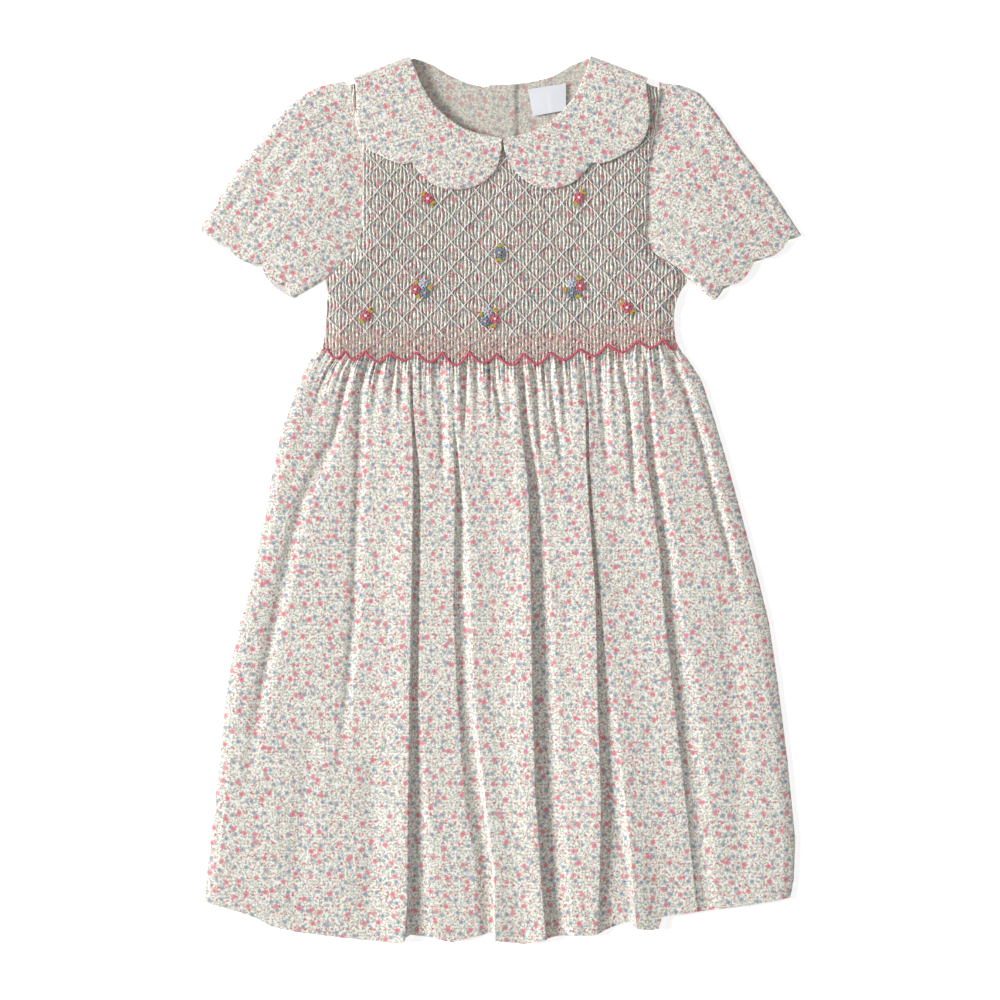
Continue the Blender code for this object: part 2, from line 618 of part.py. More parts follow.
def sleeve_section(share, start_rise, hem_rise, width, along):
    """Upper and lower height of a sleeve at a share of the way across it."""
    puff = mix(start_rise, hem_rise, smooth(along)) + 1.6 * math.sin(math.pi * along)
    edge = min(1.0, min(share, 1.0 - share) * width / SLEEVE_ROLL)
    round_edge = math.sqrt(max(0.0, 1.0 - (1.0 - edge) ** 2))
    crown = 0.75 + 0.25 * math.sin(math.pi * share)
    return SLEEVE_MIDDLE + puff * crown * round_edge, SLEEVE_MIDDLE * (1.0 - round_edge)


def make_sleeve(name, fold, seam, hems, side, material):
    """A short sleeve folded flat along its top, as one flattened tube that is open at both ends."""
    steps = SLEEVE_STEPS
    aside = 0.5 * side
    top_edge = curve(fold, steps) + (aside, 0.0)
    seam_edge = curve(seam, steps) + (aside, 0.0)
    arm_edge = armhole("left" if side < 0 else "right")
    top_edge[0] = arm_edge[0]
    seam_edge[0] = arm_edge[-1]
    shares = [step / steps for step in range(steps + 1)]
    solid = Solid()
    layers = {}
    for layer, scallops in zip(("upper", "lower"), hems):
        hem = scalloped_hem(top_edge[-1], seam_edge[-1], scallops, -side, 60)
        layers[layer] = (arm_edge, hem, top_edge, seam_edge)

    def place(layer, across, along):
        arm, hem, top, under = layers[layer]
        return patch(top, under, arm, hem, [along], [across])[0][0]

    rings = []
    for along in shares:
        width = float(np.linalg.norm(place("upper", 0.0, along) - place("upper", 1.0, along)))
        inset = SLEEVE_WALL / width
        outer, inner = [], []
        lower_order = SLEEVE_ACROSS[-2:0:-1]
        for layer, order in (("upper", SLEEVE_ACROSS), ("lower", lower_order)):
            for across in order:
                x, y = place(layer, across, along)
                heights = sleeve_section(across, 3.0, 1.9, width, along)
                outer.append((x, y, heights[0] if layer == "upper" else heights[1]))
                within = inset + (1.0 - 2.0 * inset) * across
                x, y = place(layer, within, along)
                high, low = sleeve_section(within, 3.0, 1.9, width, along)
                half_gap = SLEEVE_LEAST_GAP / 2
                if layer == "upper":
                    z = max(high - SLEEVE_WALL, SLEEVE_MIDDLE + half_gap)
                else:
                    z = min(low + SLEEVE_WALL, SLEEVE_MIDDLE - half_gap)
                inner.append((x, y, z))
        rings.append((solid.row(outer), solid.row(inner)))
    count = len(rings[0][0])
    around = list(range(count)) + [0]
    for (outer, inner), (next_outer, next_inner) in zip(rings, rings[1:]):
        for one, two in zip(around, around[1:]):
            for here, there in ((outer, next_outer), (inner, next_inner)):
                solid.faces.append((here[one], here[two], there[two]))
                solid.faces.append((here[one], there[two], there[one]))
    for outer, inner in (rings[0], rings[-1]):
        for one, two in zip(around, around[1:]):
            solid.faces.append((outer[one], outer[two], inner[two]))
            solid.faces.append((outer[one], inner[two], inner[one]))
    return solid.make(name, material)


def collar_back(side):
    """Neck edge and outer edge of a collar half behind the shoulder."""
    inner = BACK_NECK_LEFT[:-1] if side < 0 else BACK_NECK_RIGHT[:-1]
    centre = 1.2 + 0.7 * side
    inner = [Place(p.x, p.y) for p in inner[:-1]] + [Place(centre, 327.6)]
    edge = [Place(p.x * side if side > 0 else -p.x, p.y) for p in COLLAR_BACK_EDGE]
    if side < 0:
        edge = [Place(p.x + 2.4 if p.x > -20 else p.x, p.y) for p in edge]
    return inner, edge


def make_collar(name, neck, edge, side, material):
    """Half of the flat collar: over the front, round the shoulder's fold and under the back."""
    front_neck = curve(neck[::-1], COLLAR_STEPS)
    front_edge = curve(edge, COLLAR_STEPS)
    front_neck[0] = (front_edge[0][0], neck[-1].y)
    back_neck_places, back_edge_places = collar_back(side)
    back_neck = curve(back_neck_places, 12)
    back_edge = curve([edge[-1], *back_edge_places[1:]], 12)
    top_middle = (COLLAR_UNDER + COLLAR_WALL) / 2
    shoulder = mix_line(front_neck[-1], front_edge[-1], COLLAR_ACROSS)
    outward = np.array([shoulder[0][1] - shoulder[-1][1], shoulder[-1][0] - shoulder[0][0]])
    outward = np.abs(outward) / np.linalg.norm(outward) * (side, 1.0)

    columns = []
    inset = BEND_PLAN * outward
    for number in range(COLLAR_STEPS + 1):
        share = smooth((number / COLLAR_STEPS - 0.8) / 0.2)
        line = mix_line(front_neck[number], front_edge[number], COLLAR_ACROSS)
        line = [place - inset * share for place in line]
        upper, under = [], []
        for place, across in zip(line, COLLAR_ACROSS):
            rim = 0.5 if across in (0.0, 1.0) else 0.0
            upper.append((*place, COLLAR_UNDER + COLLAR_WALL - rim))
            lip = FRONT_UNDER + 1.0 if across == 0.0 and share == 0.0 else COLLAR_UNDER
            under.append((*place, lip))
        columns.append((upper, under))
    for angle in BEND_ANGLES:
        turn = math.radians(angle)
        upper, under = [], []
        for place in shoulder:
            for row, plan, rise in ((upper, BEND_PLAN, top_middle),
                                    (under, BEND_PLAN - COLLAR_WALL, top_middle - COLLAR_WALL)):
                centre = place - inset
                x, y = centre + plan * math.cos(turn) * outward
                row.append((x, y, (COLLAR_UNDER + COLLAR_WALL) / 2 + rise * math.sin(turn)))
        columns.append((upper, under))
    for number in range(13):
        share = smooth(1.0 - number / 3.0)
        line = mix_line(back_neck[number], back_edge[number], COLLAR_ACROSS)
        line = [place - inset * share for place in line]
        columns.append(([(*place, 0.0) for place in line], [(*place, CLOTH) for place in line]))
    solid = Solid()
    upper_rows = [solid.row(upper) for upper, under in columns]
    under_rows = [solid.row(under) for upper, under in columns]
    solid.sheet(upper_rows, under_rows)
    return solid.make(name, material)


def mix_line(start, end, shares):
    return [mix(np.array(start, float), np.array(end, float), share) for share in shares]


def make_label(material):
    """The neck label, lying on the inside of the right back."""
    outline = ((21.7, 324.7), (25.7, 303.4), (48.6, 306.5), (54.9, 310.5), (51.7, 329.4))
    return plate("label", outline, FLAP_UNDER, FLAP_UNDER + 0.8, material)


def make_buttons(material):
    middle = (PLACKET_LEFT + PLACKET_RIGHT) / 2
    for number, y in enumerate(BUTTON_PLACES, start=1):
        turns = [2 * math.pi * step / 20 for step in range(20)]
        outline = [(middle + BUTTON_RADIUS * math.cos(turn), y + BUTTON_RADIUS * math.sin(turn))
                   for turn in turns]
        plate(f"button_{number}", outline, 0.0, CLOTH, material)


def main():
    for existing in list(bpy.data.objects):
        bpy.data.objects.remove(existing, do_unlink=True)
    print_cotton = finish("printed_cotton", (0.68, 0.66, 0.62), 0.85, 0.2)
    smocked_cotton = finish("smocked_cotton", (0.62, 0.60, 0.57), 0.88, 0.2)
    label_cloth = finish("label_cloth", (0.85, 0.85, 0.87), 0.6)
    pearl = finish("pearl_button", (0.86, 0.84, 0.80), 0.25)
    make_front(smocked_cotton)
    make_back_half("back_bodice_left", "left", print_cotton)
    make_back_half("back_bodice_right", "right", print_cotton)
    make_back_skirt(print_cotton)
    make_sleeve("sleeve_left", SLEEVE_LEFT_FOLD, SLEEVE_LEFT_SEAM,
                (LEFT_HEM_FRONT, LEFT_HEM_BACK), -1.0, print_cotton)
    make_sleeve("sleeve_right", SLEEVE_RIGHT_FOLD, SLEEVE_RIGHT_SEAM,
                (RIGHT_HEM_FRONT, RIGHT_HEM_BACK), 1.0, print_cotton)
    make_collar("collar_left", NECK_LEFT, COLLAR_LEFT_EDGE, -1.0, print_cotton)
    make_collar("collar_right", NECK_RIGHT, COLLAR_RIGHT_EDGE, 1.0, print_cotton)
    make_label(label_cloth)
    make_buttons(pearl)


main()
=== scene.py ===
"""Looks of a child's smocked dress that lies flat: printed cotton, smocking, embroidery, light.

Sizes are in millimetres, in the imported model's frame, until a mesh is made: +X runs to the right
of the front as it is seen from above, +Y towards the neck and +Z up from the surface.
"""

import math
from collections import namedtuple

import bmesh
import bpy
import numpy as np
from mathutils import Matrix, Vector

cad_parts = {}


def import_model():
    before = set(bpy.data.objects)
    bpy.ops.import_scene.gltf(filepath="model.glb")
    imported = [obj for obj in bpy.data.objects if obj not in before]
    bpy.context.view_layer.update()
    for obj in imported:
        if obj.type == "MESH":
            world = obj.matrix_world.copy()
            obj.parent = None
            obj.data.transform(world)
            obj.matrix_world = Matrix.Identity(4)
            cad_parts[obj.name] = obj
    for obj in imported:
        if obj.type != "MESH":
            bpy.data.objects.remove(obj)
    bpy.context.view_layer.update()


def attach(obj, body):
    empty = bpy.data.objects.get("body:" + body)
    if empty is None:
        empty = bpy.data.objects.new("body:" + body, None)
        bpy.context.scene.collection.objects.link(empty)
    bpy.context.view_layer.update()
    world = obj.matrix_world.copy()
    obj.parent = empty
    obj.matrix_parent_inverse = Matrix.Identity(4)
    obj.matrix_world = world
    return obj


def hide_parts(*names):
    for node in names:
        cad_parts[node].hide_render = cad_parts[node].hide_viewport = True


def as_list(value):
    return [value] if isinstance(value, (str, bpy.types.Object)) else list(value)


MM = 0.001

# Layers of the laid dress, from the surface upwards
SEAM = 0.3
CLOTH = 1.0
RAISED = CLOTH + SEAM
FLAP_UNDER = RAISED + CLOTH + SEAM
FRONT_UNDER = FLAP_UNDER + CLOTH + SEAM
FRONT_WALL = 1.4
PLEAT_RISE = 2.2
COLLAR_UNDER = FRONT_UNDER + FRONT_WALL + PLEAT_RISE + SEAM
COLLAR_WALL = 1.2
THIN = 0.8
MIDDLE_HEIGHT = 5.5

# What the picture shows, across
PICTURE_WIDTH = 790.0

# Smocked front
PLEATS = 105
BODICE_LEFT = -141.6
BODICE_RIGHT = 139.8
PLEAT_PITCH = (BODICE_RIGHT - BODICE_LEFT) / PLEATS
PLEAT_COLUMNS = 6
CLOTH_A_PLEAT = 7.6
SMOCKED_STEP = 1.7
BEND_START = 0.72
WAIST_Y = 122.0
DIAMOND_WIDE = 19.4
DIAMOND_TOP = 264.7
ROW_STEP = 10.12
SIDE_SLOPE = 12.0
BOWING = 0.7
BOWING_START = 118.0
PULL_Y = 276.0
PULL_REACH = 11.0
WAVE_LOWEST = 112.0
SHOULDER_ROWS = 22
WOBBLE = 0.42

# Skirt front
SKIRT_COLUMNS = 680
NARROW_GATHERS = 64
NEAR_WAIST = 0.045
FOLDS_START = 120.0
FOLDS_MIDDLE = -150.0
FOLD_LEVELS = (119.0, -345.0)
SOFT_WAVES = ((5.4, 26.0, 1.1), (8.2, 48.0, 1.0), (13.0, 90.0, 0.8))
SOFT_WAVE_COUNT = 60
BACK_FOLDS = 26
HEM_STEP = (100.0, 127.0)
PANEL_TOP = 5.6
LOWEST = RAISED + 1.3
SIDE_ROLL = 9.0
SKIRT_WALL = 0.9
LIP_WIDE = 17.0

# Neck, collar, sleeves and placket
NECK_INSET = 2.0
NECK_MARGIN = 4.6
SHOULDER_INSET = 5.0
BEND_PLAN = 4.0
BEND_ANGLE = 75.0
BEND_ROWS = 11
BEND_CLOTH = 1.4
UNDERARM_Y = 174.5
ARMHOLE_GAP = 0.35
SLEEVE_MIDDLE = 1.9
SLEEVE_ROLL = 6.0
SLEEVE_GRAIN = 38.0
COLLAR_GRAIN = 12.0
PLACKET_LEFT = -9.1
PLACKET_RIGHT = 10.0
PLACKET_RAMP = 6.0
COLLAR_BACK_END = 222.0
COLLAR_BACK_RAMP = 14.0
BUTTON_PLACES = (250.0, 202.0, 154.0)
HOLE_AWAY = 1.1
LABEL_CORNERS = ((21.7, 324.7), (25.7, 303.4), (51.7, 308.2), (51.7, 329.4))

Place = namedtuple("Place", "x y")
Side = namedtuple("Side", "y left right")
BODICE_SIDES = (
    Side(331.0, -122.8, 125.2), Side(323.9, -118.9, 125.8), Side(304.2, -115.7, 123.6),
    Side(285.2, -111.0, 120.5), Side(264.7, -108.6, 116.5), Side(237.0, -109.4, 114.9),
    Side(217.2, -110.2, 115.0), Side(205.4, -112.6, 116.5), Side(195.9, -117.3, 120.4),
    Side(188.0, -125.2, 132.5), Side(180.5, -132.0, 143.0), Side(173.0, -138.6, 147.6),
    Side(165.0, -137.2, 142.4), Side(150.0, -137.9, 137.6), Side(134.3, -139.4, 137.9),
    Side(120.9, -141.6, 139.8),
)
SKIRT_SIDES = (
    Side(122.0, -141.6, 139.8), Side(110.6, -151.0, 148.9), Side(94.8, -159.2, 159.2),
    Side(63.2, -171.0, 169.5), Side(31.6, -178.9, 178.9), Side(0.0, -184.5, 187.6),
    Side(-47.4, -193.9, 200.3), Side(-94.8, -205.8, 212.1), Side(-142.2, -216.1, 219.2),
    Side(-205.4, -222.4, 227.1), Side(-268.6, -229.5, 233.4), Side(-300.0, -233.4, 232.2),
    Side(-318.4, -235.0, 228.7),
)
HEM = (
    Place(-235.0, -318.4), Place(-218.4, -322.3), Place(-199.5, -327.9), Place(-190.0, -331.8),
    Place(-180.5, -337.3), Place(-161.6, -341.3), Place(-123.6, -346.0), Place(-85.7, -349.6),
    Place(-76.0, -349.0), Place(-74.5, -343.7), Place(-57.3, -345.2), Place(-38.3, -349.6),
    Place(-19.4, -345.2), Place(-6.2, -341.6), Place(-4.0, -348.0), Place(18.6, -350.4),
    Place(37.5, -346.8), Place(47.0, -344.4), Place(75.4, -343.7), Place(84.9, -338.9),
    Place(106.4, -331.8), Place(107.6, -338.4), Place(118.1, -339.6), Place(125.4, -338.4),
    Place(126.6, -329.4), Place(160.8, -324.7), Place(198.7, -319.9), Place(228.7, -314.4),
)

Arc = namedtuple("Arc", "x top low_x low")
# The rose wave at the waist: where each arc starts and where it is lowest
WAVE = (
    Arc(-141.8, 120.4, -140.2, 117.8), Arc(-137.1, 119.6, -130.7, 112.0),
    Arc(-122.8, 117.6, -116.5, 110.6), Arc(-107.0, 117.4, -96.8, 109.0),
    Arc(-86.5, 116.8, -77.0, 110.2), Arc(-66.8, 116.4, -55.7, 108.8),
    Arc(-46.2, 116.8, -35.2, 106.4), Arc(-24.9, 117.0, -14.6, 108.4),
    Arc(-3.6, 115.4, 9.1, 106.4), Arc(17.8, 115.8, 28.8, 107.6),
    Arc(39.1, 116.2, 50.2, 110.8), Arc(62.0, 119.2, 73.9, 114.0),
    Arc(84.1, 123.0, 96.0, 116.9), Arc(107.8, 125.4, 118.9, 120.5),
    Arc(128.4, 127.0, 135.5, 118.8), Arc(140.0, 124.0, 141.0, 123.0),
)

NECK_LEFT = (Place(-71.5, 350.8), Place(-67.5, 341.3), Place(-62.8, 329.4), Place(-53.3, 313.6),
             Place(-40.7, 301.0), Place(-24.1, 291.3), Place(1.2, 285.2))
NECK_RIGHT = (Place(71.5, 350.8), Place(66.0, 335.0), Place(58.1, 318.4), Place(47.0, 305.7),
              Place(35.2, 296.2), Place(19.8, 289.4), Place(1.2, 285.2))
BACK_NECK_LEFT = (Place(-71.5, 350.8), Place(-57.3, 346.0), Place(-38.3, 335.0),
                  Place(-19.4, 328.2), Place(PLACKET_LEFT, 326.3), Place(PLACKET_RIGHT, 326.0))
BACK_NECK_RIGHT = (Place(71.5, 350.8), Place(56.5, 344.4), Place(37.5, 334.2), Place(18.6, 330.2),
                   Place(PLACKET_LEFT, 328.6))
SHOULDER_LEFT = (Place(-122.8, 331.8), Place(-99.9, 341.3), Place(-71.5, 350.8))
SHOULDER_RIGHT = (Place(125.2, 330.2), Place(98.0, 340.8), Place(71.5, 350.8))

# Each collar half's outer edge, one row of places for each of its scallops
COLLAR_LEFT_EDGE = (
    (Place(0.9, 282.4), Place(0.6, 275.0), Place(-3.6, 260.7), Place(-16.2, 248.9),
     Place(-32.0, 244.9), Place(-50.2, 247.3), Place(-62.8, 256.8), Place(-69.9, 266.4)),
    (Place(-69.9, 266.4), Place(-77.0, 264.9), Place(-86.5, 267.4), Place(-95.6, 272.2)),
    (Place(-95.6, 272.2), Place(-104.0, 276.2), Place(-110.2, 284.6), Place(-113.2, 295.0),
     Place(-113.6, 304.2)),
    (Place(-113.6, 304.2), Place(-113.9, 312.0), Place(-114.6, 322.0), Place(-116.6, 334.4)),
)
COLLAR_RIGHT_EDGE = (
    (Place(2.3, 282.4), Place(3.4, 275.0), Place(8.3, 263.0), Place(23.3, 249.6),
     Place(39.1, 244.9), Place(57.3, 250.4), Place(67.5, 260.0), Place(71.8, 266.4)),
    (Place(71.8, 266.4), Place(79.0, 265.4), Place(89.0, 268.4), Place(100.6, 274.5)),
    (Place(100.6, 274.5), Place(108.0, 278.6), Place(114.0, 286.5), Place(117.5, 297.0),
     Place(118.1, 304.0)),
    (Place(118.1, 304.0), Place(118.0, 312.0), Place(117.2, 322.0), Place(116.5, 333.6)),
)
COLLAR_BACK_EDGE = (Place(116.5, 333.6), Place(113.0, 310.0), Place(104.0, 292.0),
                    Place(88.0, 285.0), Place(70.0, 284.0), Place(55.0, 274.0), Place(36.0, 268.0),
                    Place(18.0, 272.0), Place(6.0, 286.0), Place(2.6, 306.0), Place(2.2, 322.0))

SLEEVE_LEFT_FOLD = (Place(-122.8, 331.8), Place(-142.6, 327.1), Place(-158.4, 318.4),
                    Place(-174.2, 304.2), Place(-190.0, 284.4), Place(-213.7, 253.6),
                    Place(-229.5, 227.5), Place(-238.2, 213.3))
SLEEVE_LEFT_SEAM = (Place(-138.6, 173.8), Place(-150.5, 166.7), Place(-163.1, 159.6))
SLEEVE_RIGHT_FOLD = (Place(125.2, 330.2), Place(141.8, 328.2), Place(157.6, 321.5),
                     Place(170.2, 306.5), Place(189.2, 278.9), Place(212.9, 247.3),
                     Place(228.7, 223.6), Place(237.8, 209.6))
SLEEVE_RIGHT_SEAM = (Place(147.6, 175.4), Place(155.6, 168.2), Place(167.9, 157.2))

Scallop = namedtuple("Scallop", "along out")
# Crowns and notches of the sleeves' hems, from the fold to the seam
LEFT_HEM_FRONT = (Scallop(0.0, -0.4), Scallop(0.13, -0.6), Scallop(0.27, -4.2),
                  Scallop(0.42, 0.2), Scallop(0.60, -9.0), Scallop(0.76, 0.4),
                  Scallop(0.86, -6.0), Scallop(1.0, 0.0))
LEFT_HEM_BACK = (Scallop(0.0, -0.4), Scallop(0.10, -2.4), Scallop(0.20, 0.4), Scallop(0.30, -3.0),
                 Scallop(0.40, -1.4), Scallop(0.52, -2.0), Scallop(0.64, -6.6),
                 Scallop(0.84, 1.8), Scallop(1.0, 0.0))
RIGHT_HEM_FRONT = (Scallop(0.0, -0.4), Scallop(0.09, -5.4), Scallop(0.27, 0.0),
                   Scallop(0.47, -7.4), Scallop(0.70, 0.2), Scallop(0.85, -5.2),
                   Scallop(1.0, 0.0))
RIGHT_HEM_BACK = (Scallop(0.0, -0.4), Scallop(0.12, -3.6), Scallop(0.29, -1.6),
                  Scallop(0.50, -6.6), Scallop(0.68, -1.2), Scallop(0.86, -3.0),
                  Scallop(1.0, 0.0))

Station = namedtuple("Station", "y left right soft_left soft_right deep lip_left lip_right")
# Long folds of the skirt: at each height, the edges of the trough, how softly each side falls
# into it, its depth, and how far the cloth beside each edge stands up
FOLDS = {
    "left_lap": (
        Station(122, -71.6, -70.0, 0.7, 0.8, 1.8, 0.4, 0.0),
        Station(80, -71.0, -69.2, 0.7, 0.9, 2.6, 0.8, 0.0),
        Station(50, -69.4, -67.2, 0.8, 1.1, 2.8, 1.4, 0.0),
        Station(30, -68.4, -63.8, 0.9, 3.4, 3.2, 2.0, 0.0),
        Station(-7, -68.5, -61.9, 0.9, 5.0, 3.2, 2.8, 0.0),
        Station(-95, -70.0, -62.8, 0.9, 5.4, 3.2, 3.2, 0.0),
        Station(-158, -71.0, -63.0, 0.9, 6.4, 3.2, 3.2, 0.0),
        Station(-237, -71.9, -57.0, 0.9, 13.0, 3.2, 3.6, 0.0),
        Station(-316, -72.6, -49.0, 1.0, 20.0, 3.2, 4.0, 0.0),
        Station(-350, -75.3, -47.0, 1.0, 20.0, 3.2, 4.0, 0.0),
    ),
    "middle_soft": (
        Station(122, -39.0, -37.4, 1.0, 1.2, 0.0, 0.0, 0.0),
        Station(60, -37.6, -35.0, 1.2, 1.6, 0.2, 0.0, 0.0),
        Station(40, -36.6, -33.0, 1.4, 2.4, 2.0, 0.5, 0.0),
        Station(4, -35.4, -27.4, 1.8, 6.0, 2.8, 1.0, 0.2),
        Station(-24, -36.0, -24.6, 3.0, 7.0, 2.8, 0.9, 0.4),
        Station(-79, -37.0, -23.4, 5.0, 7.0, 2.7, 0.6, 0.6),
        Station(-158, -34.0, -20.5, 6.0, 6.0, 2.6, 0.6, 0.8),
        Station(-237, -28.0, -12.0, 9.0, 4.0, 3.0, 0.6, 1.6),
        Station(-292, -20.0, -5.0, 11.0, 1.4, 3.2, 0.2, 3.0),
        Station(-350, -18.0, -4.9, 11.0, 1.0, 3.2, 0.0, 3.4),
    ),
    "middle_lap": (
        Station(122, 13.0, 16.4, 1.0, 1.6, 2.2, 0.3, 0.0),
        Station(97, 14.9, 19.8, 1.6, 2.4, 3.0, 0.8, 0.0),
        Station(69, 15.6, 23.0, 2.0, 4.0, 3.2, 1.2, 0.2),
        Station(41, 18.3, 27.4, 1.6, 4.6, 3.2, 1.8, 0.2),
        Station(19, 21.7, 31.6, 1.2, 5.6, 3.2, 2.6, 0.0),
        Station(-15, 23.3, 36.0, 1.0, 7.0, 3.2, 3.6, 0.0),
        Station(-95, 24.7, 41.6, 0.9, 9.0, 3.2, 4.2, 0.0),
        Station(-158, 25.7, 47.0, 0.9, 12.0, 3.2, 4.6, 0.2),
        Station(-237, 28.0, 51.0, 0.9, 15.0, 3.2, 4.8, 0.4),
        Station(-316, 33.6, 56.0, 1.2, 15.0, 3.2, 4.6, 0.6),
        Station(-350, 36.6, 58.0, 1.4, 15.0, 3.2, 4.4, 0.6),
    ),
    "right_lap": (
        Station(128, 63.6, 65.2, 0.7, 0.9, 1.8, 0.3, 0.0),
        Station(73, 67.6, 69.6, 0.8, 1.2, 2.8, 1.0, 0.0),
        Station(30, 68.2, 70.2, 0.7, 1.2, 3.0, 1.6, 0.0),
        Station(-15, 70.9, 73.3, 0.7, 1.6, 3.0, 2.2, 0.0),
        Station(-71, 75.2, 78.4, 0.8, 2.4, 3.2, 2.8, 0.0),
        Station(-120, 76.4, 84.6, 0.9, 7.0, 3.2, 3.2, 0.0),
        Station(-158, 77.0, 90.5, 1.0, 11.0, 3.2, 3.4, 0.2),
        Station(-237, 79.4, 98.0, 1.6, 12.0, 3.2, 3.6, 1.0),
        Station(-290, 78.6, 103.0, 6.0, 2.0, 3.2, 2.4, 3.0),
        Station(-350, 76.0, 107.0, 14.0, 1.0, 3.2, 1.2, 3.8),
    ),
    "right_soft": (
        Station(128, 112.6, 116.4, 1.6, 1.8, 2.4, 0.3, 0.0),
        Station(73, 112.8, 121.0, 2.4, 4.0, 3.0, 1.0, 0.2),
        Station(30, 116.0, 126.4, 2.6, 6.0, 3.0, 1.2, 0.2),
        Station(-5, 121.0, 132.6, 2.8, 7.0, 3.0, 1.4, 0.2),
        Station(-43, 126.0, 140.0, 3.0, 9.0, 2.9, 1.6, 0.0),
        Station(-89, 129.4, 146.0, 3.2, 11.0, 2.8, 1.8, 0.0),
        Station(-158, 137.1, 158.5, 4.0, 14.0, 2.6, 1.6, 0.0),
        Station(-237, 146.0, 167.0, 8.0, 12.0, 2.0, 1.0, 0.0),
        Station(-350, 158.0, 176.0, 9.0, 9.0, 1.4, 0.6, 0.0),
    ),
}
LAPPED = ("left_lap", "middle_soft", "middle_lap", "right_lap", "right_soft")

Crease = namedtuple("Crease", "deep wide path")
# Softer troughs, each along its own line down the skirt
CREASES = (
    Crease(2.6, 2.6, (Place(-119.5, 108.0), Place(-120.7, 97.0), Place(-126.3, 72.0),
                      Place(-131.0, 50.0), Place(-138.0, 31.6), Place(-150.0, 0.0))),
    Crease(2.2, 5.0, (Place(-138.0, 40.0), Place(-156.0, 0.0), Place(-166.3, -39.5),
                      Place(-182.1, -118.5), Place(-196.3, -197.5), Place(-203.0, -250.0))),
    Crease(1.8, 3.6, (Place(-110.5, 80.0), Place(-110.6, 47.4), Place(-112.6, 0.0),
                      Place(-115.7, -94.8), Place(-124.4, -189.6), Place(-130.0, -240.0))),
    Crease(2.2, 2.4, (Place(-79.4, 104.0), Place(-78.8, 97.0), Place(-79.0, 66.0))),
    Crease(2.4, 3.0, (Place(-47.4, 112.0), Place(-47.1, 103.0), Place(-46.2, 69.0),
                      Place(-45.2, 30.0), Place(-44.5, 4.0))),
    Crease(2.2, 1.3, (Place(-27.2, 104.0), Place(-27.5, 97.0), Place(-28.4, 78.0),
                      Place(-29.3, 50.0))),
    Crease(2.4, 2.2, (Place(-5.0, 106.0), Place(-4.2, 97.0), Place(-2.3, 82.0),
                      Place(2.3, 54.0))),
    Crease(2.2, 2.2, (Place(26.5, 98.0), Place(27.5, 87.7), Place(30.3, 59.6),
                      Place(32.2, 37.2), Place(33.0, 26.0))),
    Crease(2.6, 2.3, (Place(39.0, 106.0), Place(40.5, 87.7), Place(43.3, 63.4),
                      Place(47.1, 41.0), Place(49.8, 14.0))),
    Crease(2.2, 2.4, (Place(64.6, 110.0), Place(65.7, 97.0), Place(67.4, 66.0))),
    Crease(1.8, 3.0, (Place(78.8, 100.0), Place(79.7, 87.7), Place(82.5, 55.8),
                      Place(85.3, 14.0))),
    Crease(2.8, 2.2, (Place(96.6, 112.0), Place(97.4, 97.0), Place(101.2, 78.3),
                      Place(104.0, 41.0), Place(106.8, 0.0), Place(108.0, -20.0))),
    Crease(2.0, 1.4, (Place(125.0, 112.0), Place(126.3, 103.0), Place(129.0, 84.0))),
    Crease(2.6, 3.0, (Place(138.0, 110.0), Place(145.8, 90.0), Place(157.6, 52.0),
                      Place(169.5, 4.0), Place(185.3, -55.3), Place(192.0, -95.0))),
    Crease(1.2, 9.0, (Place(180.0, -90.0), Place(186.0, -160.0), Place(190.0, -240.0),
                      Place(192.0, -330.0))),
    Crease(1.0, 8.0, (Place(-150.0, -190.0), Place(-158.0, -260.0), Place(-163.0, -345.0))),
    Crease(0.8, 7.0, (Place(-100.0, -210.0), Place(-102.0, -280.0), Place(-104.0, -350.0))),
)

Gather = namedtuple("Gather", "x length deep wide")
# Short troughs under the wave, at their place along the waist
GATHERS = (
    Gather(-128.0, 46, 1.8, 2.0), Gather(-103.5, 40, 2.0, 1.8), Gather(-93.5, 52, 2.2, 1.9),
    Gather(-83.5, 44, 2.0, 1.8), Gather(-76.8, 34, 1.6, 1.5), Gather(-59.0, 60, 2.0, 2.2),
    Gather(-51.5, 34, 1.6, 1.7), Gather(-29.2, 50, 2.2, 1.9), Gather(-19.0, 30, 1.6, 1.7),
    Gather(-9.5, 42, 1.6, 1.8), Gather(5.6, 48, 2.0, 1.8), Gather(27.5, 40, 1.8, 1.9),
    Gather(33.5, 30, 1.4, 1.6), Gather(48.0, 58, 1.8, 2.0), Gather(54.5, 36, 1.6, 1.7),
    Gather(71.5, 70, 2.0, 2.2), Gather(77.0, 34, 1.6, 1.6), Gather(88.6, 46, 1.8, 1.9),
    Gather(104.0, 38, 1.8, 1.8), Gather(121.5, 66, 2.0, 2.2), Gather(129.0, 44, 1.8, 1.9),
)

Posy = namedtuple("Posy", "x y kind turn")
# Embroidered flowers: single ones and groups of three
POSIES = (
    Posy(-57.3, 237.8, "rose_single", 136.0), Posy(62.0, 238.6, "rose_single", 54.0),
    Posy(-106.3, 145.4, "rose_single", 48.0), Posy(99.9, 151.7, "rose_single", 140.0),
    Posy(-0.8, 195.1, "blue_single", 0.0), Posy(-62.5, 167.5, "trio", 0.0),
    Posy(58.5, 168.8, "trio_turned", 0.0), Posy(-8.6, 145.6, "trio_low", 0.0),
)


def smooth(share):
    share = np.clip(share, 0.0, 1.0)
    return share * share * (3.0 - 2.0 * share)


def mix(start, end, share):
    return start + (end - start) * share


def column(table, field, at, key="y"):
    """A table's column, read between its rows."""
    rows = sorted(table, key=lambda row: getattr(row, key))
    return np.interp(at, [getattr(row, key) for row in rows], [getattr(row, field) for row in rows])


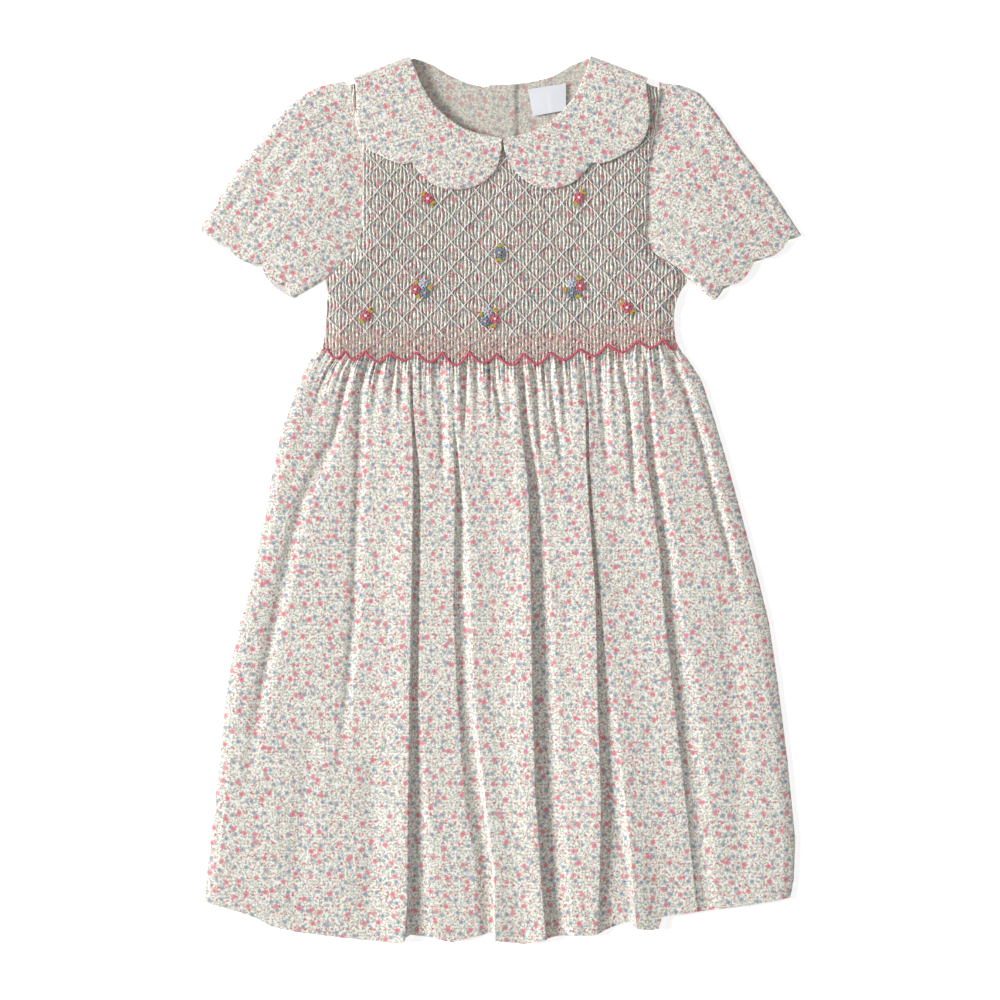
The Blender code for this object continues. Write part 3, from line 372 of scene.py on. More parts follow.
def curve(points, steps, rounds=12):
    """A smooth curve through a few places, as steps + 1 points evenly spaced along it."""
    points = [np.array(point, float) for point in points]
    ends = [2 * points[0] - points[1], *points, 2 * points[-1] - points[-2]]
    fine = [points[0]]
    for before, start, end, after in zip(ends, ends[1:], ends[2:], ends[3:]):
        for step in range(1, rounds + 1):
            t = step / rounds
            fine.append(0.5 * (2 * start + (end - before) * t
                               + (2 * before - 5 * start + 4 * end - after) * t * t
                               + (3 * start - before - 3 * end + after) * t ** 3))
    return even(fine, steps)


def turned(points, degrees, step):
    """Points in the plane, turned about the origin and then moved."""
    turn = math.radians(degrees)
    spun = np.array([[math.cos(turn), -math.sin(turn)], [math.sin(turn), math.cos(turn)]])
    return points @ spun.T + step


def even(points, steps):
    """A line of points again, as steps + 1 points evenly spaced along it."""
    points = np.array(points, float)
    lengths = np.concatenate([[0.0], np.cumsum(np.linalg.norm(np.diff(points, axis=0), axis=1))])
    at = np.linspace(0.0, lengths[-1], steps + 1)
    return np.column_stack([np.interp(at, lengths, points[:, axis])
                            for axis in range(points.shape[1])])


def moved_aside(points, distance):
    points = np.array(points, float)
    along = np.gradient(points, axis=0)
    along /= np.linalg.norm(along, axis=1)[:, None]
    return points + distance * np.column_stack([-along[:, 1], along[:, 0]])


SIDE_LINES = {side: curve([(getattr(row, side), row.y) for row in BODICE_SIDES], 90)
              for side in ("left", "right")}


def side_x(side, y):
    line = SIDE_LINES[side]
    return np.interp(y, line[::-1, 1], line[::-1, 0])


def armhole(side):
    line = [place for place in SIDE_LINES[side] if place[1] > UNDERARM_Y]
    return moved_aside(line, ARMHOLE_GAP * (-1.0 if side == "left" else 1.0))


def patch(top, bottom, start, end, across, down):
    """A grid of places over a four-sided patch, at shares across and down it."""
    def on(edge, shares):
        edge = np.array(edge, float)
        at = np.asarray(shares) * (len(edge) - 1)
        return np.column_stack([np.interp(at, np.arange(len(edge)), edge[:, axis])
                                for axis in (0, 1)])

    across, down = np.asarray(across), np.asarray(down)
    u, v = across[None, :, None], down[:, None, None]
    top_line, bottom_line = on(top, across)[None], on(bottom, across)[None]
    start_line, end_line = on(start, down)[:, None], on(end, down)[:, None]
    corners = mix(mix(np.array(top[0]), np.array(top[-1]), u),
                  mix(np.array(bottom[0]), np.array(bottom[-1]), u), v)
    return mix(top_line, bottom_line, v) + mix(start_line, end_line, u) - corners


class Piece:
    """Points, faces and cloth places of one mesh, in millimetres."""

    def __init__(self, name):
        self.name = name
        self.points = []
        self.cloth = []
        self.faces = []
        self.finishes = []
        self.count = 0

    def add(self, points, cloth=None):
        points = np.asarray(points, float).reshape(-1, 3)
        cloth = points[:, :2] if cloth is None else np.asarray(cloth, float).reshape(-1, 2)
        first = self.count
        self.points.append(points)
        self.cloth.append(cloth)
        self.count += len(points)
        return np.arange(first, self.count)

    def add_grid(self, grid, cloth=None):
        return self.add(grid, cloth).reshape(grid.shape[:2])

    def fill(self, indices, finish=0, around=False):
        """Quads over a grid of point indices."""
        if around:
            indices = np.column_stack([indices, indices[:, 0]])
        quads = np.stack([indices[:-1, :-1], indices[:-1, 1:], indices[1:, 1:], indices[1:, :-1]],
                         axis=-1).reshape(-1, 4)
        self.faces.extend(map(tuple, quads.tolist()))
        self.finishes.extend([finish] * len(quads))

    def stitch(self, upper, lower, at_upper, at_lower, finish=0):
        """Fills the strip between two rows of points of any counts, matched by a number each."""
        i = j = 0
        upper, lower = list(upper), list(lower)
        while i < len(upper) - 1 or j < len(lower) - 1:
            lower_done = j == len(lower) - 1
            if lower_done or (i < len(upper) - 1 and at_upper[i + 1] <= at_lower[j + 1]):
                self.faces.append((upper[i], lower[j], upper[i + 1]))
                i += 1
            else:
                self.faces.append((upper[i], lower[j], lower[j + 1]))
                j += 1
            self.finishes.append(finish)

    def shell(self, grid, cloth, thick, finishes=(0, 1)):
        """A thin closed wall under a grid of points."""
        along = np.gradient(grid, axis=1)
        down = np.gradient(grid, axis=0)
        normal = np.cross(along, down)
        normal /= np.maximum(np.linalg.norm(normal, axis=2), 1e-9)[..., None]
        normal *= np.where(normal[..., 2:] < 0, -1.0, 1.0)
        under = grid - normal * thick
        under[..., 2] = np.minimum(under[..., 2], grid[..., 2] - 0.35 * thick)
        top = self.add_grid(grid, cloth)
        low = self.add_grid(under, cloth)
        self.fill(top, finishes[0])
        self.fill(low[:, ::-1], finishes[1])
        self.rim(top, low, finishes[0])

    def rim(self, top, low, finish=0):
        """Closes the edge between an upper and a lower grid of points."""
        for ring in ((top[0], low[0]), (low[-1], top[-1]), (low[:, 0], top[:, 0]),
                     (top[:, -1], low[:, -1])):
            self.fill(np.array(ring), finish)

    def coarse_shell(self, grid, cloth, thick, lowest, every=(4, 5)):
        """A closed wall under a fine grid, with a coarser underside that stays below it."""
        top = self.add_grid(grid, cloth)
        self.fill(top)
        rows, columns = (np.unique(np.append(np.arange(0, count, step), count - 1))
                         for count, step in zip(grid.shape, every))
        around = [(step, step) for step in every]
        padded = np.pad(grid[..., 2], around, mode="edge")
        height = np.min([padded[i:i + grid.shape[0], j:j + grid.shape[1]]
                         for i in range(2 * every[0] + 1) for j in range(2 * every[1] + 1)], axis=0)
        picked = np.ix_(rows, columns)
        under = grid[picked].copy()
        under[..., 2] = np.maximum(height[picked] - thick, lowest)
        low = self.add_grid(under, cloth[picked])
        self.fill(low, 1)
        for side in (0, -1):
            self.stitch(top[side], low[side], grid[side, :, 0], under[side, :, 0])
            self.stitch(top[:, side], low[:, side], -grid[:, side, 1], -under[:, side, 1])

    def make(self, materials, merge=0.0):
        mesh = bpy.data.meshes.new(self.name)
        points = np.vstack(self.points) * MM
        mesh.from_pydata(points.tolist(), [], self.faces)
        layer = mesh.uv_layers.new(name="cloth")
        corners = np.empty(len(mesh.loops), np.int32)
        mesh.loops.foreach_get("vertex_index", corners)
        layer.data.foreach_set("uv", (np.vstack(self.cloth)[corners] * MM).astype(np.float32).ravel())
        mesh.polygons.foreach_set("material_index", np.array(self.finishes, np.int32))
        builder = bmesh.new()
        builder.from_mesh(mesh)
        if merge:
            bmesh.ops.remove_doubles(builder, verts=builder.verts, dist=merge * MM)
        bmesh.ops.recalc_face_normals(builder, faces=builder.faces)
        builder.to_mesh(mesh)
        builder.free()
        for material in materials:
            mesh.materials.append(material)
        mesh.shade_smooth()
        mesh.set_sharp_from_angle(angle=math.radians(75.0))
        made = bpy.data.objects.new(self.name, mesh)
        bpy.context.scene.collection.objects.link(made)
        return made


class Tree:
    """Adds and links the nodes of one tree."""

    def __init__(self, tree):
        self.tree = tree

    def add(self, kind, inputs=None, **settings):
        made = self.tree.nodes.new(kind)
        for name, value in settings.items():
            setattr(made, name, value)
        for key, value in (inputs or {}).items():
            if isinstance(value, bpy.types.NodeSocket):
                self.tree.links.new(value, made.inputs[key])
            else:
                made.inputs[key].default_value = value
        return made

    def maths(self, operation, *values, clamp=False):
        made = self.add("ShaderNodeMath", dict(enumerate(values)), operation=operation,
                        use_clamp=clamp)
        return made.outputs[0]

    def vector(self, operation, *values):
        made = self.add("ShaderNodeVectorMath", dict(enumerate(values)), operation=operation)
        return made.outputs["Value" if operation == "LENGTH" else "Vector"]

    def ramp(self, value, low, high, start=0.0, end=1.0):
        made = self.add("ShaderNodeMapRange",
                        {"Value": value, "From Min": low, "From Max": high, "To Min": start,
                         "To Max": end}, interpolation_type="SMOOTHSTEP")
        return made.outputs["Result"]

    def blend(self, share, below, above, how="MIX"):
        made = self.add("ShaderNodeMix", {0: share, 6: below, 7: above}, data_type="RGBA",
                        blend_type=how)
        return made.outputs[2]


def colour(red, green, blue):
    """A colour given as a screen shows it, 0 to 255, made linear."""
    def linear(value):
        value /= 255.0
        return value / 12.92 if value <= 0.04045 else ((value + 0.055) / 1.055) ** 2.4
    return (linear(red), linear(green), linear(blue), 1.0)


def add_inputs(made, inputs):
    """Opens the inputs of a node group, as (title, kind, value)."""
    for title, kind, value in inputs:
        socket = made.interface.new_socket(title, in_out="INPUT", socket_type="NodeSocket" + kind)
        if value is not None:
            socket.default_value = value


def shader_group(name, inputs, outputs):
    """A new group of shader nodes: its tree, what it is given and what it gives."""
    made = bpy.data.node_groups.new(name, "ShaderNodeTree")
    add_inputs(made, inputs)
    for title, kind in outputs:
        made.interface.new_socket(title, in_out="OUTPUT", socket_type="NodeSocket" + kind)
    tree = Tree(made)
    return tree, made.nodes.new("NodeGroupInput").outputs, made.nodes.new("NodeGroupOutput").inputs


def use(tree, group, inputs=None):
    """Adds a node group to a tree, and gives its outputs."""
    return tree.add("ShaderNodeGroup", inputs, node_tree=group).outputs


def scattered(tree, given):
    """The nodes shared by scattered motifs: the way from a motif's middle, turned at random."""
    moved = tree.vector("ADD", given["Place"], given["Shift"])
    scale = tree.maths("DIVIDE", 1.0, given["Spacing"])
    cells = tree.add("ShaderNodeTexVoronoi",
                     {"Vector": moved, "Scale": scale, "Randomness": 0.9},
                     voronoi_dimensions="2D", feature="F1")
    chances = tree.add("ShaderNodeSeparateColor", {0: cells.outputs["Color"]}).outputs
    away = tree.vector("SUBTRACT", moved, cells.outputs["Position"])
    angle = tree.maths("MULTIPLY", chances[0], 2 * math.pi)
    turned = tree.add("ShaderNodeVectorRotate", {"Vector": away, "Angle": angle},
                      rotation_type="Z_AXIS").outputs[0]
    present = tree.maths("LESS_THAN", chances[1], given["Share"])
    return turned, present, chances[2]


MOTIF_INPUTS = (("Place", "Vector", None), ("Shift", "Vector", (0.0, 0.0, 0.0)),
                ("Spacing", "Float", 3.0), ("Share", "Float", 0.8))


def leaf_group():
    """Short bent leaves scattered over the cloth."""
    tree, given, out = shader_group(
        "scattered_leaves",
        (*MOTIF_INPUTS, ("Length", "Float", 1.0), ("Width", "Float", 0.4), ("Bend", "Float", 0.3)),
        (("Mask", "Float"), ("Chance", "Float")))
    turned, present, chance = scattered(tree, given)
    x, y, _ = tree.add("ShaderNodeSeparateXYZ", {0: turned}).outputs
    bent = tree.maths("SUBTRACT", y, tree.maths("MULTIPLY", given["Bend"],
                                                tree.maths("MULTIPLY", x, x)))
    across = tree.maths("POWER", tree.maths("DIVIDE", bent, given["Width"]), 2.0)
    along = tree.maths("POWER", tree.maths("DIVIDE", x, given["Length"]), 2.0)
    inside = tree.ramp(tree.maths("ADD", across, along), 0.55, 1.3, 1.0, 0.0)
    link = tree.tree.links.new
    link(tree.maths("MULTIPLY", inside, present), out["Mask"])
    link(chance, out["Chance"])
    return tree.tree


def flower_group():
    """Small flowers scattered over the cloth, with a heart and darker lines between petals."""
    tree, given, out = shader_group(
        "scattered_flowers",
        (*MOTIF_INPUTS, ("Radius", "Float", 2.4), ("Petals", "Float", 5.0),
         ("Notch", "Float", 0.16)),
        (("Mask", "Float"), ("Heart", "Float"), ("Lines", "Float"), ("Chance", "Float")))
    turned, present, chance = scattered(tree, given)
    x, y, _ = tree.add("ShaderNodeSeparateXYZ", {0: turned}).outputs
    far = tree.maths("DIVIDE", tree.vector("LENGTH", turned), given["Radius"])
    angle = tree.maths("ARCTAN2", y, x)
    wave = tree.maths("COSINE", tree.maths("MULTIPLY", angle, given["Petals"]))
    edge = tree.maths("MULTIPLY_ADD", wave, given["Notch"],
                      tree.maths("SUBTRACT", 1.0, given["Notch"]))
    reach = tree.maths("DIVIDE", far, edge)
    petals = tree.maths("MULTIPLY", tree.ramp(reach, 0.84, 1.1, 1.0, 0.0), present)
    heart = tree.maths("MULTIPLY", tree.ramp(far, 0.14, 0.34, 1.0, 0.0), petals)
    between = tree.maths("MULTIPLY", tree.ramp(wave, -1.0, -0.3, 1.0, 0.0),
                         tree.ramp(far, 0.2, 0.6))
    link = tree.tree.links.new
    link(petals, out["Mask"])
    link(heart, out["Heart"])
    link(tree.maths("MULTIPLY", between, petals), out["Lines"])
    link(chance, out["Chance"])
    return tree.tree


Leaves = namedtuple("Leaves", "shade spacing share length width bend shift")
Flowers = namedtuple("Flowers", "petals lines heart spacing share radius count notch shift")
GROUND = colour(247, 244, 236)
PRINT_LEAVES = (
    Leaves(colour(200, 206, 211), 3.7, 0.78, 1.5, 0.80, 0.10, (3.1, 7.7, 0.0)),
    Leaves(colour(196, 198, 178), 2.9, 0.75, 1.4, 0.40, 0.35, (17.3, 2.9, 0.0)),
    Leaves(colour(150, 152, 118), 2.5, 0.80, 1.15, 0.33, 0.40, (0.0, 0.0, 0.0)),
    Leaves(colour(162, 160, 122), 2.7, 0.72, 1.25, 0.30, -0.40, (31.7, 13.1, 0.0)),
    Leaves(colour(158, 167, 178), 3.9, 0.60, 1.05, 0.48, 0.20, (11.9, 41.3, 0.0)),
)
PRINT_FLOWERS = (
    Flowers(colour(238, 208, 202), colour(232, 190, 186), colour(228, 180, 178),
            5.3, 0.42, 1.15, 4, 0.18, (23.7, 5.3, 0.0)),
    Flowers(colour(220, 128, 142), colour(206, 104, 122), colour(206, 104, 122),
            5.6, 0.52, 1.25, 2, 0.34, (7.1, 19.9, 0.0)),
    Flowers(colour(214, 108, 124), colour(200, 90, 108), colour(200, 90, 108),
            8.3, 0.60, 1.30, 3, 0.28, (53.1, 9.3, 0.0)),
    Flowers(colour(168, 180, 191), colour(146, 160, 174), colour(98, 114, 132),
            8.6, 0.66, 2.00, 5, 0.12, (43.9, 27.7, 0.0)),
    Flowers(colour(228, 148, 158), colour(212, 116, 132), colour(206, 104, 120),
            12.8, 0.80, 2.45, 5, 0.15, (13.3, 8.9, 0.0)),
)


def print_group(leaves, flowers):
    """A small all-over floral print. Place is a point on the cloth, in metres."""
    tree, given, out = shader_group("floral_print", (("Place", "Vector", None),),
                                    (("Color", "Color"), ("Ink", "Float")))
    place = tree.add("ShaderNodeVectorMath", {0: given["Place"], "Scale": 1 / MM},
                     operation="SCALE").outputs["Vector"]
    shade = GROUND
    ink = 0.0
    for row in PRINT_LEAVES:
        mask, chance = use(tree, leaves, {
            "Place": place, "Shift": row.shift, "Spacing": row.spacing, "Share": row.share,
            "Length": row.length, "Width": row.width, "Bend": row.bend})
        strength = tree.maths("MULTIPLY", mask, tree.ramp(chance, 0.0, 1.0, 0.65, 1.0))
        shade = tree.blend(strength, shade, row.shade)
        ink = tree.maths("MAXIMUM", ink, mask)
    for row in PRINT_FLOWERS:
        mask, heart, lines, chance = use(tree, flowers, {
            "Place": place, "Shift": row.shift, "Spacing": row.spacing, "Share": row.share,
            "Radius": row.radius, "Petals": float(row.count), "Notch": row.notch})
        petals = tree.blend(tree.maths("MULTIPLY", lines, 0.8), row.petals, row.lines)
        whole = tree.blend(heart, petals, row.heart)
        shade = tree.blend(tree.maths("MULTIPLY", mask, tree.ramp(chance, 0.0, 1.0, 0.8, 1.0)),
                           shade, whole)
        ink = tree.maths("MAXIMUM", ink, mask)
    tree.tree.links.new(shade, out["Color"])
    tree.tree.links.new(ink, out["Ink"])
    return tree.tree


def weave_group():
    """Threads of a fine plain weave, as a height and as a slight change of tone."""
    tree, given, out = shader_group(
        "plain_weave", (("Place", "Vector", None), ("Pitch", "Float", 0.42)),
        (("Height", "Float"), ("Tone", "Float")))
    place = tree.add("ShaderNodeVectorMath", {0: given["Place"], "Scale": 1 / MM},
                     operation="SCALE").outputs["Vector"]
    uneven = tree.add("ShaderNodeTexNoise", {"Vector": place, "Scale": 0.35, "Detail": 3.0})
    x, y, _ = tree.add("ShaderNodeSeparateXYZ", {0: place}).outputs
    step = tree.maths("DIVIDE", 2 * math.pi, given["Pitch"])
    weft = tree.maths("SINE", tree.maths("MULTIPLY", x, step))
    warp = tree.maths("SINE", tree.maths("MULTIPLY", y, step))
    threads = tree.maths("MULTIPLY", weft, warp)
    height = tree.maths("MULTIPLY_ADD", uneven.outputs["Fac"], 3.0, threads)
    tone = tree.maths("MULTIPLY_ADD", threads, 0.03,
                      tree.maths("MULTIPLY_ADD", uneven.outputs["Fac"], 0.10, 0.93))
    tree.tree.links.new(height, out["Height"])
    tree.tree.links.new(tone, out["Tone"])
    return tree.tree


def new_material(name, roughness, sheen=0.0, sheen_roughness=0.5):
    """A new material with its tree and its shader."""
    material = bpy.data.materials.new(name)
    material.use_nodes = True
    tree = Tree(material.node_tree)
    shader = material.node_tree.nodes["Principled BSDF"]
    shader.inputs["Roughness"].default_value = roughness
    shader.inputs["Sheen Weight"].default_value = sheen
    shader.inputs["Sheen Roughness"].default_value = sheen_roughness
    shader.inputs["Specular IOR Level"].default_value = 0.25
    return material, tree, shader


def printed_cotton(name, groups, fade=0.0, tint=None):
    """Cotton lawn with the floral print; fade is how much of the print its wrong side loses, towards
    tint, which may be darkened as painted shade.
    """
    material, tree, shader = new_material(name, 0.85, sheen=0.08)
    place = tree.add("ShaderNodeUVMap", uv_map="cloth").outputs[0]
    printed = use(tree, groups["print"], {"Place": place})
    weave = use(tree, groups["weave"], {"Place": place})
    shade = printed["Color"]
    if fade:
        shade = tree.blend(fade, shade, tint or GROUND)
    tone = tree.add("ShaderNodeCombineColor", {0: weave["Tone"], 1: weave["Tone"],
                                               2: weave["Tone"]}).outputs[0]
    shade = tree.blend(1.0, shade, tone, how="MULTIPLY")
    bump = tree.add("ShaderNodeBump", {"Height": weave["Height"], "Strength": 0.25,
                                       "Distance": 0.00006})
    rough = tree.maths("MULTIPLY_ADD", printed["Ink"], -0.06, 0.88)
    link = tree.tree.links.new
    link(shade, shader.inputs["Base Color"])
    link(rough, shader.inputs["Roughness"])
    link(bump.outputs[0], shader.inputs["Normal"])
    return material


def thread(name, shade, dark):
    """Embroidery cotton: two plies twisted together, with a soft lustre."""
    material, tree, shader = new_material(name, 0.6, sheen=0.15)
    shader.inputs["Specular IOR Level"].default_value = 0.35
    place = tree.add("ShaderNodeTexCoord").outputs["Object"]
    point = tree.add("ShaderNodeVectorMath", {0: place, "Scale": 1 / MM},
                     operation="SCALE").outputs["Vector"]
    noise = tree.add("ShaderNodeTexNoise", {"Vector": point, "Scale": 1.7, "Detail": 2.0})
    plies = tree.add("ShaderNodeTexWave", {"Vector": point, "Scale": 1.1, "Distortion": 0.6},
                     bands_direction="DIAGONAL")
    shade = tree.blend(tree.ramp(noise.outputs["Fac"], 0.3, 0.7), dark, shade)
    height = tree.maths("MULTIPLY_ADD", noise.outputs["Fac"], 0.5, plies.outputs["Fac"])
    bump = tree.add("ShaderNodeBump", {"Height": height, "Strength": 0.35, "Distance": 0.0001})
    tree.tree.links.new(shade, shader.inputs["Base Color"])
    tree.tree.links.new(bump.outputs[0], shader.inputs["Normal"])
    return material


def label_satin(groups):
    """White woven satin ribbon."""
    material, tree, shader = new_material("label_satin", 0.42, sheen=0.2)
    place = tree.add("ShaderNodeUVMap", uv_map="cloth").outputs[0]
    weave = use(tree, groups["weave"], {"Place": place, "Pitch": 0.3})
    shade = tree.blend(weave["Tone"], colour(198, 202, 212), colour(232, 234, 240))
    bump = tree.add("ShaderNodeBump", {"Height": weave["Height"], "Strength": 0.2,
                                       "Distance": 0.00004})
    tree.tree.links.new(shade, shader.inputs["Base Color"])
    tree.tree.links.new(bump.outputs[0], shader.inputs["Normal"])
    return material


def pearl():
    """Mother-of-pearl button, with cloudy bands."""
    material, tree, shader = new_material("pearl", 0.22)
    shader.inputs["Coat Weight"].default_value = 0.4
    place = tree.add("ShaderNodeTexCoord").outputs["Object"]
    cloud = tree.add("ShaderNodeTexNoise", {"Vector": place, "Scale": 160.0, "Detail": 4.0,
                                            "Distortion": 1.2})
    shade = tree.blend(cloud.outputs["Fac"], colour(214, 206, 196), colour(246, 243, 238))
    rough = tree.ramp(cloud.outputs["Fac"], 0.2, 0.8, 0.18, 0.34)
    tree.tree.links.new(shade, shader.inputs["Base Color"])
    tree.tree.links.new(rough, shader.inputs["Roughness"])
    return material


def make_materials():
    groups = {"weave": weave_group()}
    groups["print"] = print_group(leaf_group(), flower_group())
    return {
        "print": printed_cotton("printed_cotton", groups),
        "wrong": printed_cotton("wrong_side_cotton", groups, 0.62, colour(243, 240, 236)),
        # This tint is darker than the ground: partly the wrong side of the print, partly painted shade
        # for the dim inside of the back neck.
        "inner_back_painted_shade": printed_cotton("inner_back_painted_shade_cotton", groups, 0.45, colour(186, 180, 166)),
        "white": thread("white_thread", colour(250, 249, 245), colour(232, 231, 226)),
        "peach": thread("peach_thread", colour(246, 208, 198), colour(236, 184, 174)),
        "rose": thread("rose_thread", colour(226, 108, 130), colour(204, 82, 106)),
        "light_blue": thread("light_blue_thread", colour(206, 219, 232),
                             colour(176, 194, 212)),
        "slate": thread("slate_thread", colour(138, 158, 178), colour(104, 124, 146)),
        "mustard": thread("mustard_thread", colour(214, 194, 74), colour(180, 156, 48)),
        "pink": thread("pale_pink_thread", colour(246, 200, 190), colour(232, 172, 166)),
        "label": label_satin(groups),
        "pearl": pearl(),
    }


def wave_y(x):
    """The rose wave at the waist."""
    x = np.asarray(x, float)
    starts = np.array([arc.x for arc in WAVE])
    number = np.clip(np.searchsorted(starts, x, side="right") - 1, 0, len(WAVE) - 2)
    x0, x1 = starts[number], starts[number + 1]
    tops = np.array([arc.top for arc in WAVE])
    chord = mix(tops[number], tops[number + 1], (x - x0) / (x1 - x0))
    low_x = np.array([arc.low_x for arc in WAVE])[number]
    low = np.array([arc.low for arc in WAVE])[number]
    drop = mix(tops[number], tops[number + 1], (low_x - x0) / (x1 - x0)) - low
    to_low = np.where(x < low_x, (x - x0) / (low_x - x0), (x1 - x) / (x1 - low_x))
    return chord - drop * np.sin(math.pi / 2 * np.clip(to_low, 0.0, 1.0))


def wave_top(x):
    """The line over the tops of the wave."""
    return np.interp(x, [arc.x for arc in WAVE], [arc.top for arc in WAVE])


def front_side_under(y):
    """Underside of the front at its sides, which rises over the collar's back."""
    on_collar = smooth((y - COLLAR_BACK_END + COLLAR_BACK_RAMP) / COLLAR_BACK_RAMP)
    return mix(RAISED, FLAP_UNDER, on_collar)


RANDOM = np.random.default_rng(7)
PLEAT_PHASES = RANDOM.uniform(0.0, 2 * math.pi, (2, PLEATS + 2))
PLEAT_LENGTHS = RANDOM.uniform(10.0, 19.0, (2, PLEATS + 2))
PLEAT_HEIGHTS = RANDOM.uniform(0.84, 1.08, PLEATS + 2)


def pleat_number(x):
    """Which pleat a place across the front is on, with its share of the pleat."""
    return (x - BODICE_LEFT) / PLEAT_PITCH


def pleat_wander(x, y):
    """How far a pleat leans aside: bowed within each diamond, and a little uneven."""
    row = (DIAMOND_TOP - y) / ROW_STEP
    bowed = -BOWING * np.sin(2 * math.pi * x / DIAMOND_WIDE) * np.cos(math.pi * row)
    at = np.clip(pleat_number(x) + 0.5, 0, PLEATS + 1)
    numbers = np.arange(PLEATS + 2)
    wobble = 0.0
    for phases, lengths in zip(PLEAT_PHASES, PLEAT_LENGTHS):
        phase = np.interp(at, numbers, phases)
        length = np.interp(at, numbers, lengths)
        wobble = wobble + 0.5 * WOBBLE * np.sin(2 * math.pi * y / length + phase)
    return bowed * smooth((y - BOWING_START) / 20.0) + wobble


def pleat_height(x, y):
    """Height of the pleats over their grooves, lower where the threads draw them in."""
    row = (DIAMOND_TOP - y) / ROW_STEP
    drawn = 0.5 + 0.5 * np.cos(2 * math.pi * x / DIAMOND_WIDE) * np.cos(math.pi * row)
    number = pleat_number(x)
    crest = (0.5 - 0.5 * np.cos(2 * math.pi * number)) ** 0.72
    tall = np.interp(np.clip(number + 0.5, 0, PLEATS + 1), np.arange(PLEATS + 2), PLEAT_HEIGHTS)
    return (PLEAT_RISE + 0.3) * crest * tall * (1.0 - 0.22 * drawn)


def bodice_inside(x, y, left, right):
    """Inside of the smocked front, lower towards its sides."""
    edge = np.minimum(x - left, right - x)
    return mix(front_side_under(y), FRONT_UNDER, smooth(edge / SIDE_SLOPE))


def cloth_across(x):
    """Place across the cloth, which runs up and down each pleat."""
    number = pleat_number(x)
    within = number - np.floor(number)
    steep = within - 0.06 * np.sin(4 * math.pi * within)
    return CLOTH_A_PLEAT * (np.floor(number) + steep - PLEATS / 2)


def smocked_line(left, right, y_at, open_sides=()):
    """One line across the smocking, as points with their cloth places and the plain inside."""
    pitch = PLEAT_PITCH / PLEAT_COLUMNS
    first = math.ceil((left[0] - BODICE_LEFT + 0.2) / pitch)
    last = math.floor((right[0] - BODICE_LEFT - 0.2) / pitch)
    x = np.concatenate([[left[0]], BODICE_LEFT + pitch * np.arange(first, last + 1), [right[0]]])
    y = y_at(x)
    from_left = left[0] if "left" not in open_sides else -1e3
    from_right = right[0] if "right" not in open_sides else 1e3
    under = bodice_inside(x, y, from_left, from_right)
    height = pleat_height(x, y)
    height[[0, -1]] = 0.0
    aside = pleat_wander(x, y)
    aside[[0, -1]] = 0.0
    aside[[1, -2]] *= 0.3
    from_pull = (x - NECK_LEFT[-1].x) ** 2 + (y - PULL_Y) ** 2
    drawn_in = np.exp(-from_pull / PULL_REACH ** 2)
    height *= 1.0 - 0.3 * drawn_in
    upper = np.column_stack([x + aside, y, under + FRONT_WALL - 0.3 - 0.7 * drawn_in + height])
    cloth = np.column_stack([cloth_across(x), y])
    plain = np.linspace(left[0], right[0], max(5, int((right[0] - left[0]) / 6.0)))
    plain_y = y_at(plain)
    lower = np.column_stack([plain, plain_y, bodice_inside(plain, plain_y, from_left, from_right)])
    return x, upper, cloth, plain, lower


def make_bodice(materials):
    """The smocked front, from the shoulders to the wave at the waist."""
    piece = Piece("front_smocking")

    def straight(left, right):
        return lambda x: mix(left[1], right[1], (x - left[0]) / max(right[0] - left[0], 1e-6))

    def add_lines(lines, before=None, open_sides=()):
        for left, right, y_at in lines:
            x, upper, cloth, plain, lower = smocked_line(left, right, y_at, open_sides)
            top = piece.add(upper, cloth)
            low = piece.add(lower)
            if before is None:
                piece.stitch(top, low, x, plain)
            else:
                piece.stitch(before[1], top, before[0], x)
                piece.stitch(before[3], low, before[2], plain, finish=1)
                for side in (0, -1):
                    piece.fill(np.array([[before[1][side], top[side]],
                                         [before[3][side], low[side]]]))
            before = (x, top, plain, low)
        return before

    blocks = {}
    for side, shoulder, neck, turn in (("left", SHOULDER_LEFT, NECK_LEFT, -1.0),
                                       ("right", SHOULDER_RIGHT, NECK_RIGHT, 1.0)):
        steps = SHOULDER_ROWS
        inner = moved_aside(curve(neck, steps), turn * NECK_INSET)
        inner[-1] = (NECK_LEFT[-1].x, NECK_LEFT[-1].y - NECK_INSET)
        inner[0] = np.array(shoulder[-1]) + (turn * NECK_INSET, -SHOULDER_INSET - 1.0)
        tip_y = shoulder[0].y - SHOULDER_INSET
        lines = []
        for step in range(steps + 1):
            y = mix(tip_y, inner[-1][1], step / steps)
            outer = (float(side_x(side, y)), y)
            left, right = (outer, inner[step]) if side == "left" else (inner[step], outer)
            lines.append((left, right, straight(left, right)))
        blocks[side] = add_lines(lines, open_sides=("right",) if side == "left" else ("left",))
    top_y = NECK_LEFT[-1].y - NECK_INSET
    steps = int((top_y - WAVE_LOWEST) / SMOCKED_STEP)
    lines = []
    for step in range(steps + 1):
        share = step / steps
        level = mix(top_y, WAIST_Y, share)
        left = (float(side_x("left", level)), level)
        right = (float(side_x("right", level)), level)

        def y_at(x, level=level, share=share):
            near = smooth((share - BEND_START) / (1.0 - BEND_START))
            return level + (wave_y(x) - WAIST_Y) * near

        lines.append((left, right, y_at))
    joined = [np.concatenate([one[:-1], two])
              for one, two in zip(blocks["left"], blocks["right"])]
    last = add_lines(lines[1:], joined)
    piece.stitch(last[1], last[3], last[0], last[2])
    return piece.make([materials["print"], materials["wrong"]], merge=0.01)


def along_path(path, y):
    """Where a crease's path runs at each height."""
    rows = sorted(path, key=lambda place: place.y)
    return np.interp(y, [row.y for row in rows], [row.x for row in rows])


